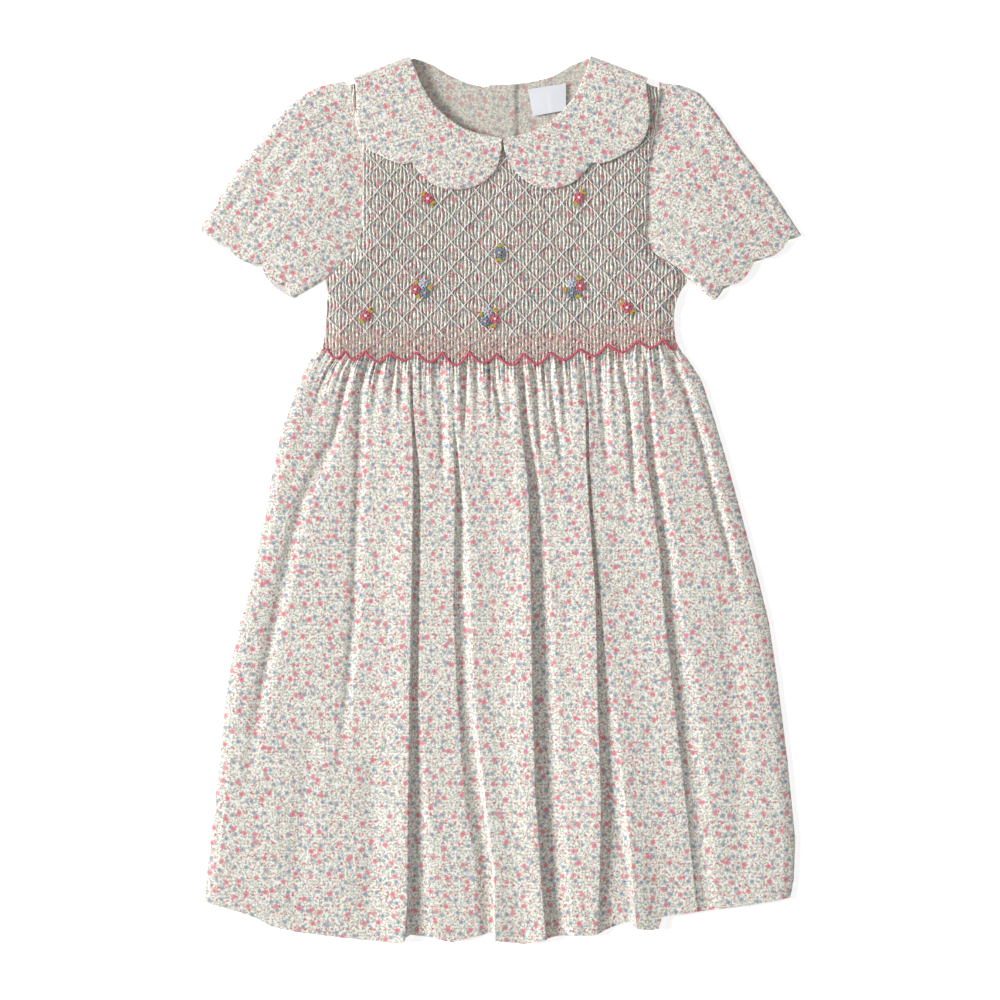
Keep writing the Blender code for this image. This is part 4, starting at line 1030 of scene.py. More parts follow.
def skirt_columns():
    """Where each column starts along the waist, and how the columns follow the folds' edges."""
    anchors = [("side", "left")]
    for name in LAPPED:
        anchors += [(name, "left"), (name, "right")]
    anchors.append(("side", "right"))

    def place(anchor, y):
        name, edge = anchor
        if name == "side":
            return column(SKIRT_SIDES, edge, y)
        return column(FOLDS[name], edge, y)

    top = [float(place(anchor, FOLDS_START)) for anchor in anchors]
    middle = [float(place(anchor, FOLDS_MIDDLE)) for anchor in anchors]
    counts = []
    for first, last, one, two in zip(top, top[1:], middle, middle[1:]):
        share = 0.5 * (last - first) / (top[-1] - top[0]) + 0.5 * (two - one) / (middle[-1] - middle[0])
        counts.append(max(5, round(SKIRT_COLUMNS * share)))
    return anchors, counts, place


def spread(counts, places):
    """Places of the columns of one row, with a pair close together at each fold's edge."""
    values = []
    for number, count in enumerate(counts):
        share = np.arange(count) / count
        values.append(mix(places[number][..., None], places[number + 1][..., None], share))
    values.append(places[-1][..., None])
    return np.concatenate(values, axis=-1)


def fold_relief(x, y):
    """Height added by the long folds: lips, and the troughs beside them."""
    height = np.zeros_like(x)
    for stations in FOLDS.values():
        left = column(stations, "left", y)
        right = column(stations, "right", y)
        soft_left = column(stations, "soft_left", y)
        soft_right = column(stations, "soft_right", y)
        inside = smooth((x - left + 0.3) / soft_left) * smooth((right - x + 0.3) / soft_right)
        height -= column(stations, "deep", y) * inside
        for edge, lip, turn in ((left, "lip_left", -1.0), (right, "lip_right", 1.0)):
            away = (x - edge) * turn
            rise = np.where(away > 0, np.exp(-((away / LIP_WIDE) ** 2)), 1 - smooth(-away / 1.2))
            height += column(stations, lip, y) * rise
    return height


def crease_relief(x, y):
    """Height taken away by the soft creases between the folds."""
    height = np.zeros_like(x)
    for crease in CREASES:
        ys = [place.y for place in crease.path]
        length = max(ys) - min(ys)
        strength = smooth((y - min(ys)) / (0.4 * length)) * smooth((max(ys) + 14.0 - y) / 14.0)
        away = (x - along_path(crease.path, y)) / crease.wide
        height -= crease.deep * strength * np.exp(-away ** 2)
    return height


def gather_relief(y, x_waist, below):
    """Pleats let go under the wave: the fine ones fade first, then the gathers."""
    height = pleat_height(x_waist, WAIST_Y + 0 * y) * np.exp(-((below / 9.0) ** 1.4))
    for gather in GATHERS:
        away = (x_waist - gather.x) / (gather.wide * (1 + below / 70.0))
        height -= gather.deep * np.exp(-away ** 2) * np.exp(-((below / gather.length) ** 2))
    chance = np.random.default_rng(11)
    places = chance.uniform(BODICE_LEFT + 2.0, BODICE_RIGHT - 2.0, NARROW_GATHERS)
    for place in places:
        reach, deep, wide = chance.uniform((6.0, 0.9, 0.6), (30.0, 2.0, 1.0))
        away = (x_waist - place) / (wide * (1 + below / 60.0))
        height -= deep * np.exp(-away ** 2) * np.exp(-((below / reach) ** 2))
    numbers = np.arange(SOFT_WAVE_COUNT)
    values = np.random.default_rng(12).uniform(-1.0, 1.0, (len(SOFT_WAVES), SOFT_WAVE_COUNT))
    for row, (pitch, reach, tall) in zip(values, SOFT_WAVES):
        at = (x_waist - BODICE_LEFT) / pitch
        wave = np.cos(math.pi * at + 1.2 * np.interp(at, numbers, row))
        height += tall * 0.5 * wave * np.exp(-below / reach) * smooth(below / 6.0)
    return height


def skirt_grid():
    """Points of the skirt front's upper face, row by row, and their places on the cloth."""
    anchors, counts, place = skirt_columns()
    fine = np.linspace(0.0, 1.0, 15)[:-1] * NEAR_WAIST
    shares = np.concatenate([fine, mix(NEAR_WAIST, 1.0, np.linspace(0.0, 1.0, 92) ** 1.05)])
    down = shares[:, None]
    level = mix(*FOLD_LEVELS, shares)
    places = []
    for anchor in anchors:
        name, edge = anchor
        if name == "side":
            ends = (wave_y(BODICE_LEFT), HEM[0].y) if edge == "left" else (
                wave_y(BODICE_RIGHT), HEM[-1].y)
            places.append(place(anchor, mix(*ends, shares)))
        else:
            places.append(place(anchor, level))
    x = spread(counts, places)
    x_waist, x_hem = x[0], x[-1]
    waist = wave_y(np.clip(x_waist, WAVE[0].x + 0.1, WAVE[-1].x - 0.1))
    hem = column(HEM, "y", x_hem, key="x")
    y = mix(waist[None, :], hem[None, :], down)
    below = waist[None, :] - y
    folds = fold_relief(x, y) * smooth(below / 14.0)
    height = PANEL_TOP + 1.2 * np.exp(-below / 18.0) + folds
    height = height + crease_relief(x, y) * smooth(below / 10.0)
    height = height + gather_relief(y, x_waist[None, :] + 0 * y, below)
    height = height - 0.6 * np.exp(-below / 6.0)
    edge = np.minimum(x - x[:, :1], x[:, -1:] - x)
    roll = np.sqrt(np.clip(edge / SIDE_ROLL, 0.0, 1.0))
    lowest = RAISED + SKIRT_WALL + 0.15
    height = mix(lowest, np.maximum(height, LOWEST), roll)
    steps = np.hypot(np.diff(x, axis=1), np.diff(np.maximum(PANEL_TOP + folds, LOWEST), axis=1))
    across = np.concatenate([np.zeros((len(x), 1)), np.cumsum(steps, axis=1)], axis=1)
    middle = across.shape[1] // 2
    across -= across[:, middle:middle + 1] - x[:, middle:middle + 1]
    return np.stack([x, y, height], axis=-1), np.stack([across, y], axis=-1)


def make_skirt(materials):
    """The skirt's front, below the wave at the waist."""
    piece = Piece("front_skirt")
    grid, cloth = skirt_grid()
    piece.coarse_shell(grid, cloth, SKIRT_WALL, RAISED + 0.1)
    return piece.make([materials["print"], materials["wrong"]])


def make_back_skirt(materials):
    """The skirt's back, flat on the surface, with shallow folds pressed into it."""
    inset = 0.8
    shares = np.linspace(0.0, 1.0, 60)
    across = np.linspace(0.0, 1.0, 120)
    waist = float(wave_y(BODICE_LEFT))
    top = waist - 1.0
    left_y = mix(top, HEM[0].y + 1.0, shares)
    right_y = mix(top, HEM[-1].y + 1.0, shares)
    left = column(SKIRT_SIDES, "left", left_y) + inset
    right = column(SKIRT_SIDES, "right", right_y) - inset
    x = mix(left[:, None], right[:, None], across[None, :])
    plain = [place for place in HEM if not HEM_STEP[0] < place.x < HEM_STEP[1]]
    hem = column(plain, "y", x[-1], key="x") + 2.0
    y = mix(top, hem[None, :], shares[:, None])
    pressed = np.zeros_like(x)
    places = np.random.default_rng(5).uniform(0.0, 1.0, BACK_FOLDS)
    for number, start in enumerate(np.sort(places)):
        reach = 60.0 + 34.0 * (number % 5)
        away = (x - mix(left[:, None], right[:, None], start)) / (2.0 + 0.4 * (number % 3))
        pressed += 0.5 * np.exp(-away ** 2) * np.exp(-((top - y) / reach) ** 2)
    pressed = np.minimum(pressed, 0.55)
    grid = np.stack([x, y, np.full_like(x, CLOTH)], axis=-1)
    low = np.stack([x, y, pressed], axis=-1)
    piece = Piece("back_skirt_cloth")
    upper = piece.add_grid(grid)
    lower = piece.add_grid(low)
    piece.fill(upper, 1)
    piece.fill(lower[:, ::-1])
    piece.rim(upper, lower)
    return piece.make([materials["print"], materials["wrong"]])


def back_lift(x, y, strip_under):
    """Underside of the back, over the collar's back part and the placket."""
    on_collar = smooth((y - COLLAR_BACK_END + COLLAR_BACK_RAMP) / COLLAR_BACK_RAMP) * RAISED
    aside = np.maximum(np.maximum(PLACKET_LEFT - x, x - PLACKET_RIGHT - 0.6), 0.0)
    on_strip = (1 - smooth(aside / PLACKET_RAMP)) * strip_under
    return np.maximum(on_collar, on_strip)


def make_back_half(name, side, materials):
    """Half of the plain back bodice, with its flap of the placket."""
    left = side == "left"
    turn = 1.0 if left else -1.0
    shoulder = curve(SHOULDER_LEFT if left else SHOULDER_RIGHT, 16)
    neck = curve(BACK_NECK_LEFT if left else BACK_NECK_RIGHT, 60)
    start = PLACKET_LEFT if left else PLACKET_RIGHT + 0.6
    end = PLACKET_RIGHT if left else PLACKET_LEFT
    flap = [start - PLACKET_RAMP * turn * share for share in (1.0, 0.75, 0.5, 0.25)]
    flap += list(np.linspace(start, end, 14))
    order = np.argsort(neck[:, 0])
    neck_y = [float(np.interp(x, neck[order, 0], neck[order, 1])) - 0.6 for x in flap]
    kept = [place for place in neck[1:] if (flap[0] - place[0]) * turn > 1.0]
    shoulder[:, 1] -= SHOULDER_INSET
    shoulder[0, 0] = side_x(side, shoulder[0, 1])
    top = np.array([*shoulder, *(np.array(kept) + (0.0, -0.6)), (flap[0], neck_y[0])])
    top = even(top, 90)
    waist_end = float(wave_y(BODICE_LEFT)) + SEAM
    down = np.linspace(0.0, 1.0, 60)
    outer_y = np.linspace(top[0, 1], waist_end, 50)
    outer = np.column_stack([side_x(side, outer_y), outer_y])
    outer[0] = top[0]
    inner = np.array([(flap[0], y) for y in np.linspace(neck_y[0], waist_end, 25)])
    bottom = np.array([mix(outer[-1], inner[-1], share) for share in (0.0, 0.5, 1.0)])
    places = patch(top, bottom, outer, inner, np.linspace(0.0, 1.0, 60), down)
    strip = np.array([[(x, mix(y, waist_end, share)) for x, y in zip(flap[1:], neck_y[1:])]
                      for share in down])
    places = np.concatenate([places, strip], axis=1)
    strip_under = RAISED if left else FLAP_UNDER
    under = back_lift(places[..., 0], places[..., 1], strip_under)
    grid = np.concatenate([places, under[..., None] + THIN], axis=2)
    low = np.concatenate([places, under[..., None]], axis=2)
    piece = Piece(name)
    upper, lower = piece.add_grid(grid), piece.add_grid(low)
    piece.fill(upper, 1)
    piece.fill(lower)
    piece.rim(upper, lower)
    # The upper face, seen through the neck, takes the inner back cotton with its painted shade.
    return piece.make([materials["print"], materials["inner_back_painted_shade"]])


def scalloped_hem(start, end, scallops, out_turn, steps):
    """A sleeve's hem from its fold to its seam, as round scallops with sharp notches."""
    start, end = np.array(start, float), np.array(end, float)
    along = (end - start) / np.linalg.norm(end - start)
    outward = np.array([along[1], -along[0]]) * out_turn
    shares = np.linspace(0.0, 1.0, steps + 1)
    outs = np.zeros(steps + 1)
    for one, two in zip(scallops, scallops[1:]):
        here = (shares >= one.along) & (shares <= two.along)
        t = (shares[here] - one.along) / (two.along - one.along)
        if one.out < two.out:
            outs[here] = mix(one.out, two.out, np.sin(math.pi / 2 * t) ** 0.8)
        else:
            outs[here] = mix(two.out, one.out, np.sin(math.pi / 2 * (1 - t)) ** 0.8)
    return start + (end - start) * shares[:, None] + outward * outs[:, None]


SleeveCrease = namedtuple("SleeveCrease", "across_start across_end deep wide")
SLEEVE_CREASES = (
    SleeveCrease(0.16, 0.34, 0.9, 0.035), SleeveCrease(0.30, 0.44, 0.5, 0.03),
    SleeveCrease(0.62, 0.58, 0.5, 0.04), SleeveCrease(0.05, 0.16, 0.7, 0.02),
    SleeveCrease(0.84, 0.78, 0.6, 0.03),
)


def make_sleeve(name, fold, seam, hems, side, materials):
    """A short sleeve folded flat, as one flattened tube that is open at both ends."""
    rows = 44
    top_edge = curve(fold, rows) + (0.5 * side, 0.0)
    seam_edge = curve(seam, rows) + (0.5 * side, 0.0)
    arm_edge = armhole("left" if side < 0 else "right")
    top_edge[0], seam_edge[0] = arm_edge[0], arm_edge[-1]
    shares = np.linspace(0.0, 1.0, rows + 1)
    across = 0.5 - 0.5 * np.cos(math.pi * np.linspace(0.0, 1.0, 61))
    across = mix(across, np.linspace(0.0, 1.0, 61), 0.6)
    layers = []
    for scallops in hems:
        hem = scalloped_hem(top_edge[-1], seam_edge[-1], scallops, -side, 120)
        layers.append(patch(top_edge, seam_edge, arm_edge, hem, shares, across)
                      .transpose(1, 0, 2))

    def heights(share, width, along):
        puff = mix(1.3, 1.9, smooth(along)) + 2.2 * np.sin(math.pi * along) ** 0.7
        edge = np.minimum(1.0, np.minimum(share, 1.0 - share) * width / SLEEVE_ROLL)
        round_edge = np.sqrt(np.maximum(0.0, 1.0 - (1.0 - edge) ** 2))
        crown = 0.75 + 0.25 * np.sin(math.pi * share)
        top = SLEEVE_MIDDLE + (puff + 0.5) * crown * round_edge
        for crease in SLEEVE_CREASES:
            away = (share - mix(crease.across_start, crease.across_end, along)) / crease.wide
            top = top - crease.deep * np.exp(-away ** 2) * np.sin(math.pi * along) ** 0.6
        gathered = 0.35 * np.cos(2 * math.pi * share * 24.0) * np.exp(-along / 0.10)
        gathered *= smooth(share / 0.1) * smooth((0.62 - share) / 0.2)
        top = np.maximum(top + gathered, SLEEVE_MIDDLE + 0.6 * round_edge)
        return top, SLEEVE_MIDDLE * (1.0 - round_edge)

    width = np.linalg.norm(layers[0][:, 0] - layers[0][:, -1], axis=1)[:, None]
    along = shares[:, None]
    share = across[None, :]
    high, low = heights(share, width, along)
    upper = np.concatenate([layers[0], high[..., None]], axis=2)
    lower = np.concatenate([layers[1], (low + 0 * high)[..., None]], axis=2)[:, -2:0:-1]
    outer = np.concatenate([upper, lower], axis=1)
    inner_upper = np.concatenate(
        [layers[0], np.maximum(high - THIN, SLEEVE_MIDDLE + 0.25)[..., None]], axis=2)
    inner_lower = np.concatenate(
        [layers[1], np.minimum(low + THIN + 0 * high, SLEEVE_MIDDLE - 0.25)[..., None]], axis=2)
    toward = 0.5 * (layers[0][:, :1] + layers[0][:, -1:])
    for grid in (inner_upper, inner_lower):
        away = grid[..., :2] - toward
        far = np.linalg.norm(away, axis=2, keepdims=True)
        near_edge = (1.0 - smooth(np.minimum(share, 1.0 - share) * width / 4.0))[..., None]
        grid[..., :2] -= away / np.maximum(far, 1e-6) * 0.9 * near_edge
    inner = np.concatenate([inner_upper, inner_lower[:, -2:0:-1]], axis=1)
    piece = Piece(name)
    out, inside = (
        piece.add_grid(grid, turned(grid[..., :2], -SLEEVE_GRAIN * side, (40.0 * side, 17.0)))
        for grid in (outer, inner))
    piece.fill(out, 0, around=True)
    piece.fill(inside, 1, around=True)
    for end in (0, -1):
        piece.fill(np.array([out[end], inside[end]]), 1, around=True)
    return piece.make([materials["print"], materials["wrong"]])


def collar_back(side):
    """Inner and outer edge of the collar's part behind the neck."""
    inner = BACK_NECK_LEFT[:-1] if side < 0 else BACK_NECK_RIGHT[:-1]
    centre = 1.2 + 0.7 * side
    inner = [*inner[:-1], Place(centre, 327.6)]
    edge = [Place(p.x if side > 0 else -p.x, p.y) for p in COLLAR_BACK_EDGE]
    if side < 0:
        edge = [Place(p.x + 2.4 if p.x > -20 else p.x, p.y) for p in edge]
    return inner, edge


def make_collar(name, neck, edge, side, materials):
    """Half of the collar: over the front, round the shoulder's fold and under the back."""
    scallops = [curve(scallop, 40) for scallop in edge]
    front_edge = even(np.concatenate([scallops[0], *[row[1:] for row in scallops[1:]]]), 150)
    steps = len(front_edge) - 1
    front_neck = curve(neck[::-1], steps)
    front_neck[0] = (front_edge[0][0], neck[-1].y)
    rim = np.array([0.0, 0.012, 0.03, 0.06])
    across = np.concatenate([rim, np.linspace(0.1, 0.9, 15), 1.0 - rim[::-1]])
    line = mix(front_neck[:, None], front_edge[:, None], across[None, :, None])
    shoulder = line[-1]
    outward = np.array([shoulder[0][1] - shoulder[-1][1], shoulder[-1][0] - shoulder[0][0]])
    outward = np.abs(outward) / np.linalg.norm(outward) * (side, 1.0)
    bend = smooth((np.arange(steps + 1) / steps - 0.8) / 0.2)[:, None, None]
    line = line - outward * BEND_PLAN * bend
    reach = np.linalg.norm(line[:, -1] - line[:, 0], axis=1)[:, None]
    from_edge = (1.0 - across)[None, :] * reach
    from_neck = across[None, :] * reach
    rounded = np.sqrt(np.clip(1 - (1 - np.minimum(from_edge, 1.6) / 1.6) ** 2, 0, 1))
    rolled = np.sqrt(np.clip(1 - (1 - np.minimum(from_neck, 2.2) / 2.2) ** 2, 0, 1))
    wall = mix(0.35, 1.0, rounded * rolled)
    position = np.arange(steps + 1)[:, None] / steps
    lifted = 0.5 * np.sin(position * 23.0 + 1.0) * np.exp(-from_edge / 9.0) * (1 - bend[..., 0])
    swell = 0.5 * np.sin(math.pi * across)[None, :] * (1 - bend[..., 0])
    middle = COLLAR_UNDER + COLLAR_WALL / 2
    top = middle + COLLAR_WALL / 2 * wall + np.maximum(lifted, -0.1) + swell
    low = middle - COLLAR_WALL / 2 * wall + np.maximum(lifted, 0.0) * 0.6
    upper = [np.concatenate([line, top[..., None]], axis=2)]
    under = [np.concatenate([line, low[..., None]], axis=2)]
    top_middle = (COLLAR_UNDER + COLLAR_WALL) / 2
    for angle in np.linspace(BEND_ANGLE, -BEND_ANGLE, BEND_ROWS):
        turn = math.radians(angle)
        centre = shoulder - outward * BEND_PLAN
        for rows, plan, rise in ((upper, BEND_PLAN, top_middle),
                                 (under, BEND_PLAN - COLLAR_WALL, top_middle - COLLAR_WALL)):
            place = centre + plan * math.cos(turn) * outward
            height = np.full((len(across), 1), top_middle + rise * math.sin(turn))
            rows.append(np.concatenate([place, height], axis=1)[None])
    inner_places, edge_places = collar_back(side)
    back_neck = curve(inner_places, 40)
    back_edge = curve([edge[-1][-1], *edge_places[1:]], 40)
    back = mix(back_neck[:, None], back_edge[:, None], across[None, :, None])
    fade = smooth(1.0 - np.arange(41) / 10.0)[:, None, None]
    back = back - outward * BEND_PLAN * fade
    flat = np.zeros(back.shape[:2] + (1,))
    upper.append(np.concatenate([back, flat], axis=2))
    under.append(np.concatenate([back, flat + CLOTH], axis=2))
    upper, under = np.concatenate(upper), np.concatenate(under)
    cloth = upper[..., :2].copy()
    past_bend = BEND_ROWS + 1
    bend_rows = slice(steps + 1, steps + past_bend)
    cloth[bend_rows] += np.arange(1, past_bend)[:, None, None] * BEND_CLOTH * outward
    cloth[steps + past_bend:] += past_bend * BEND_CLOTH * outward
    cloth = turned(cloth, COLLAR_GRAIN * side, (61.0 * side, -23.0))
    piece = Piece(name)
    top_points = piece.add_grid(upper, cloth)
    low_points = piece.add_grid(under, cloth)
    piece.fill(top_points)
    piece.fill(low_points)
    piece.rim(top_points, low_points)
    return piece.make([materials["print"]])


def make_label(materials):
    """A blank satin label with its ends turned under."""
    top_left, low_left, low_right, top_right = LABEL_CORNERS
    top = np.array([top_left, top_right])
    bottom = np.array([low_left, low_right])
    start = np.array([top_left, low_left])
    end = np.array([top_right, low_right])
    shares = np.linspace(0.0, 1.0, 25)
    places = patch(top, bottom, start, end, shares, shares)
    u, v = shares[None, :], shares[:, None]
    lift = 0.5 * np.sin(math.pi * u) * np.sin(math.pi * v) ** 0.5 + 0.25 * (u > 0.5) * v
    height = FLAP_UNDER + THIN + SEAM + 0.35 + lift
    folded = 0.25 * np.exp(-(v / 0.1) ** 2)
    grid = np.concatenate([places, (height + folded)[..., None]], axis=2)
    piece = Piece("neck_label")
    piece.shell(grid, places, 0.35, (0, 0))
    return piece.make([materials["label"]])


def thread_tree(name, mode):
    """Geometry tree: a short fat stitch at each point of a line, turned along it and slanted."""
    made = bpy.data.node_groups.new(name, "GeometryNodeTree")
    add_inputs(made, (("Geometry", "Geometry", None), ("Spacing", "Float", 2.0 * MM),
                      ("Length", "Float", 3.0 * MM), ("Width", "Float", 0.8 * MM),
                      ("Slant", "Float", 0.0), ("Material", "Material", None)))
    made.interface.new_socket("Geometry", in_out="OUTPUT", socket_type="NodeSocketGeometry")
    tree = Tree(made)
    given = made.nodes.new("NodeGroupInput").outputs
    out = made.nodes.new("NodeGroupOutput").inputs
    settings = {"Curve": given["Geometry"]}
    if mode == "LENGTH":
        settings["Length"] = given["Spacing"]
    points = tree.add("GeometryNodeCurveToPoints", settings, mode=mode)
    ball = tree.add("GeometryNodeMeshUVSphere", {"Segments": 6, "Rings": 5, "Radius": 0.5})
    half = tree.add("ShaderNodeCombineXYZ", {0: given["Length"], 1: given["Width"],
                                             2: given["Width"]})
    along = tree.add("FunctionNodeAlignEulerToVector", {"Vector": points.outputs["Tangent"]},
                     axis="X", pivot_axis="Z")
    slanted = tree.add("FunctionNodeRotateEuler",
                       {"Rotation": along.outputs[0], "Angle": given["Slant"],
                        "Axis": (0.0, 0.0, 1.0)}, rotation_type="AXIS_ANGLE", space="LOCAL")
    placed = tree.add("GeometryNodeInstanceOnPoints",
                      {"Points": points.outputs["Points"], "Instance": ball.outputs["Mesh"],
                       "Rotation": slanted.outputs[0], "Scale": half.outputs[0]})
    real = tree.add("GeometryNodeRealizeInstances", {"Geometry": placed.outputs[0]})
    shaded = tree.add("GeometryNodeSetShadeSmooth", {"Geometry": real.outputs[0]})
    finish = tree.add("GeometryNodeSetMaterial", {"Geometry": shaded.outputs[0],
                                                  "Material": given["Material"]})
    made.links.new(finish.outputs[0], out["Geometry"])
    return made


def sew(name, lines, tree, **values):
    """Runs stitches along some lines, and keeps them as one plain mesh."""
    path = bpy.data.curves.new(name + "_path", "CURVE")
    path.dimensions = "3D"
    for line in lines:
        spline = path.splines.new("POLY")
        spline.points.add(len(line) - 1)
        flat = np.column_stack([np.asarray(line, float) * MM, np.ones(len(line))])
        spline.points.foreach_set("co", flat.ravel())
    holder = bpy.data.objects.new(name + "_path", path)
    bpy.context.scene.collection.objects.link(holder)
    modifier = holder.modifiers.new("stitches", "NODES")
    modifier.node_group = tree
    for item in tree.interface.items_tree:
        if item.item_type == "SOCKET" and item.in_out == "INPUT" and item.name in values:
            modifier[item.identifier] = values[item.name]
    graph = bpy.context.evaluated_depsgraph_get()
    mesh = bpy.data.meshes.new_from_object(holder.evaluated_get(graph))
    mesh.name = name
    made = bpy.data.objects.new(name, mesh)
    bpy.context.scene.collection.objects.link(made)
    bpy.data.objects.remove(holder)
    bpy.data.curves.remove(path)
    return made


def smocked_top(x, y):
    """Where a thread lies over the pleats."""
    left = side_x("left", y)
    right = side_x("right", y)
    under = bodice_inside(x, y, left, right)
    return under + FRONT_WALL - 0.3 + pleat_height(x, y)


def neck_y(x):
    """The front's neckline."""
    places = sorted({*NECK_LEFT, *NECK_RIGHT})
    return np.interp(x, [place.x for place in places], [place.y for place in places])


def crest_line(direction, offset, low, high):
    """One thread of the lattice, with a point on the crest of each pleat that it crosses."""
    points = []
    for number in range(PLEATS):
        x = BODICE_LEFT + (number + 0.5) * PLEAT_PITCH
        row = direction * 2 * (x / DIAMOND_WIDE - offset)
        y = DIAMOND_TOP - ROW_STEP * row
        if not low(x) < y < min(high, neck_y(x) - NECK_MARGIN):
            continue
        if not side_x("left", y) + 1.5 < x < side_x("right", y) - 1.5:
            continue
        points.append((x + float(pleat_wander(x, y)), y, float(smocked_top(x, y)) + 0.36))
    return points


def make_lattice(materials, trees):
    """White threads in diamonds over the smocking."""
    lines = []
    for direction in (-1, 1):
        for offset in range(-24, 25):
            line = crest_line(direction, offset, lambda x: wave_top(x) + 14.0, 300.0)
            if len(line) > 1:
                lines.append(line)
    return sew("lattice_threads", lines, trees["each"], Length=5.3 * MM, Width=0.98 * MM,
               Slant=0.0, Material=materials["white"])


def make_peach_band(materials, trees):
    """Pale fine zigzags that follow the wave."""
    lines = []
    for row in range(-2, 5):
        line = []
        for number in range(1, PLEATS - 1):
            x = BODICE_LEFT + (number + 0.5) * PLEAT_PITCH
            rise = 1.6 * (2 - abs((number + 2 * (row % 2)) % 4 - 2))
            y = float(wave_top(x)) + 0.6 + 3.2 * row + rise
            if y < wave_y(x) + 1.6:
                if len(line) > 1:
                    lines.append(line)
                line = []
                continue
            line.append((x + float(pleat_wander(x, y)), y, float(smocked_top(x, y)) + 0.3))
        if len(line) > 1:
            lines.append(line)
    return sew("peach_threads", lines, trees["each"], Length=4.2 * MM, Width=0.74 * MM,
               Slant=0.0, Material=materials["peach"])


def make_wave(materials, trees):
    """The rose wave at the waist, in close slanted stitches."""
    x = np.linspace(WAVE[0].x + 1.2, WAVE[-1].x - 0.8, 1400)
    y = wave_y(x)
    height = bodice_inside(x, y, BODICE_LEFT, BODICE_RIGHT) + FRONT_WALL + 0.8 * PLEAT_RISE + 0.75
    line = np.column_stack([x, y, height])
    return sew("rose_wave", [line], trees["spaced"], Spacing=1.5 * MM, Length=3.0 * MM,
               Width=1.6 * MM, Slant=math.radians(34.0), Material=materials["rose"])


class Stitchery:
    """Fat bullion stitches in one mesh: round tubes with a coil of thread in their outline."""

    def __init__(self, name):
        self.piece = Piece(name)

    def bullion(self, points, radius, finish, coils=7):
        """A tube along a short line of points, thin at both ends."""
        points = even(points, 14)
        share = np.linspace(0.0, 1.0, len(points))
        ring = np.linspace(0.0, 2 * math.pi, 9)[:-1]
        taper = np.sqrt(np.clip(1 - (2 * share - 1) ** 6, 0.02, 1)) * (
            1 + 0.10 * np.cos(2 * math.pi * coils * share))
        along = np.gradient(points, axis=0)
        along /= np.linalg.norm(along, axis=1)[:, None]
        aside = np.cross(along, (0.0, 0.0, 1.0))
        aside /= np.linalg.norm(aside, axis=1)[:, None]
        upward = np.cross(aside, along)
        rings = points[:, None] + radius * taper[:, None, None] * (
            np.cos(ring)[None, :, None] * aside[:, None]
            + np.sin(ring)[None, :, None] * upward[:, None])
        grid = self.piece.add_grid(rings)
        self.piece.fill(grid, finish, around=True)
        for end in (grid[0], grid[-1][::-1]):
            self.piece.faces.append(tuple(end.tolist()))
            self.piece.finishes.append(finish)

    def knot(self, x, y, z, radius, finish):
        """A round French knot."""
        self.bullion([(x - radius, y, z), (x, y, z + 0.2 * radius), (x + radius, y, z)],
                     radius, finish, coils=3)

    def flower(self, x, y, z, radius, petal, heart, petals=5, turn=0.0):
        """A flower of looped petals round a knot."""
        middle = np.array([x, y, z])
        for number in range(petals):
            angle = math.radians(turn) + 2 * math.pi * number / petals
            outward = np.array([math.cos(angle), math.sin(angle), 0.0]) * radius
            aside = np.array([-math.sin(angle), math.cos(angle), 0.0]) * radius
            for side in (-1.0, 1.0):
                self.bullion([middle + 0.22 * outward + 0.06 * side * aside,
                              middle + 0.56 * outward + 0.30 * side * aside + (0, 0, 0.2),
                              middle + 0.92 * outward + 0.10 * side * aside],
                             radius * 0.15, petal, coils=5)
        self.knot(x, y, z + 0.5, radius * 0.24, heart)

    def leaves(self, x, y, z, length, angle, finish):
        """Two leaves that open in a V, each of two stitches."""
        start = np.array([x, y, z])
        for lean in (-38.0, 38.0):
            turn = math.radians(angle + lean)
            along = np.array([math.cos(turn), math.sin(turn), 0.0]) * length
            aside = np.array([-math.sin(turn), math.cos(turn), 0.0]) * length
            for side in (-1.0, 1.0):
                self.bullion([start, start + 0.5 * along + 0.17 * side * aside, start + along],
                             0.46, finish, coils=4)


ROSE, SLATE, SKY, MUSTARD, PINK, WHITE = range(6)


def posy_parts(kind):
    """Flowers as (x, y, radius, petal, heart), leaves as (x, y, angle), buds as (x, y, finish)."""
    if kind == "rose_single":
        return ([(0.0, 0.0, 4.7, ROSE, WHITE)], [(3.9, 0.0, 0), (-3.9, 0.0, 180)],
                [(7.6, 1.6, PINK)])
    if kind == "blue_single":
        return ([(0.0, 0.0, 4.7, SLATE, PINK)], [(0.2, 4.4, 90), (-0.4, -4.2, 270)], [])
    if kind == "trio":
        return ([(-4.6, -1.4, 4.2, ROSE, WHITE), (1.8, 3.7, 4.2, SKY, PINK),
                 (2.8, -4.2, 4.2, SLATE, PINK)],
                [(-3.6, 2.8, 125), (5.6, -0.2, 5), (-2.0, -6.2, 245)],
                [(-5.6, 7.2, PINK), (9.4, 1.0, ROSE), (-0.8, -9.6, WHITE)])
    if kind == "trio_turned":
        return ([(4.4, 0.0, 4.2, ROSE, WHITE), (-1.9, 2.6, 4.2, SKY, PINK),
                 (-2.2, -5.6, 4.2, SLATE, PINK)],
                [(2.8, 4.4, 80), (-6.2, -3.0, 175), (2.2, -7.0, 290)],
                [(1.0, 8.0, PINK), (5.4, -9.8, WHITE), (-9.6, -2.4, ROSE)])
    return ([(4.3, -2.7, 4.2, ROSE, WHITE), (-1.3, 3.3, 4.2, SKY, PINK),
             (-3.6, -4.9, 4.2, SLATE, PINK)],
            [(3.8, 3.0, 55), (-5.8, 0.6, 160), (2.2, -7.2, 285)],
            [(8.2, 5.6, PINK), (-9.4, 2.4, ROSE), (2.6, -10.8, WHITE)])


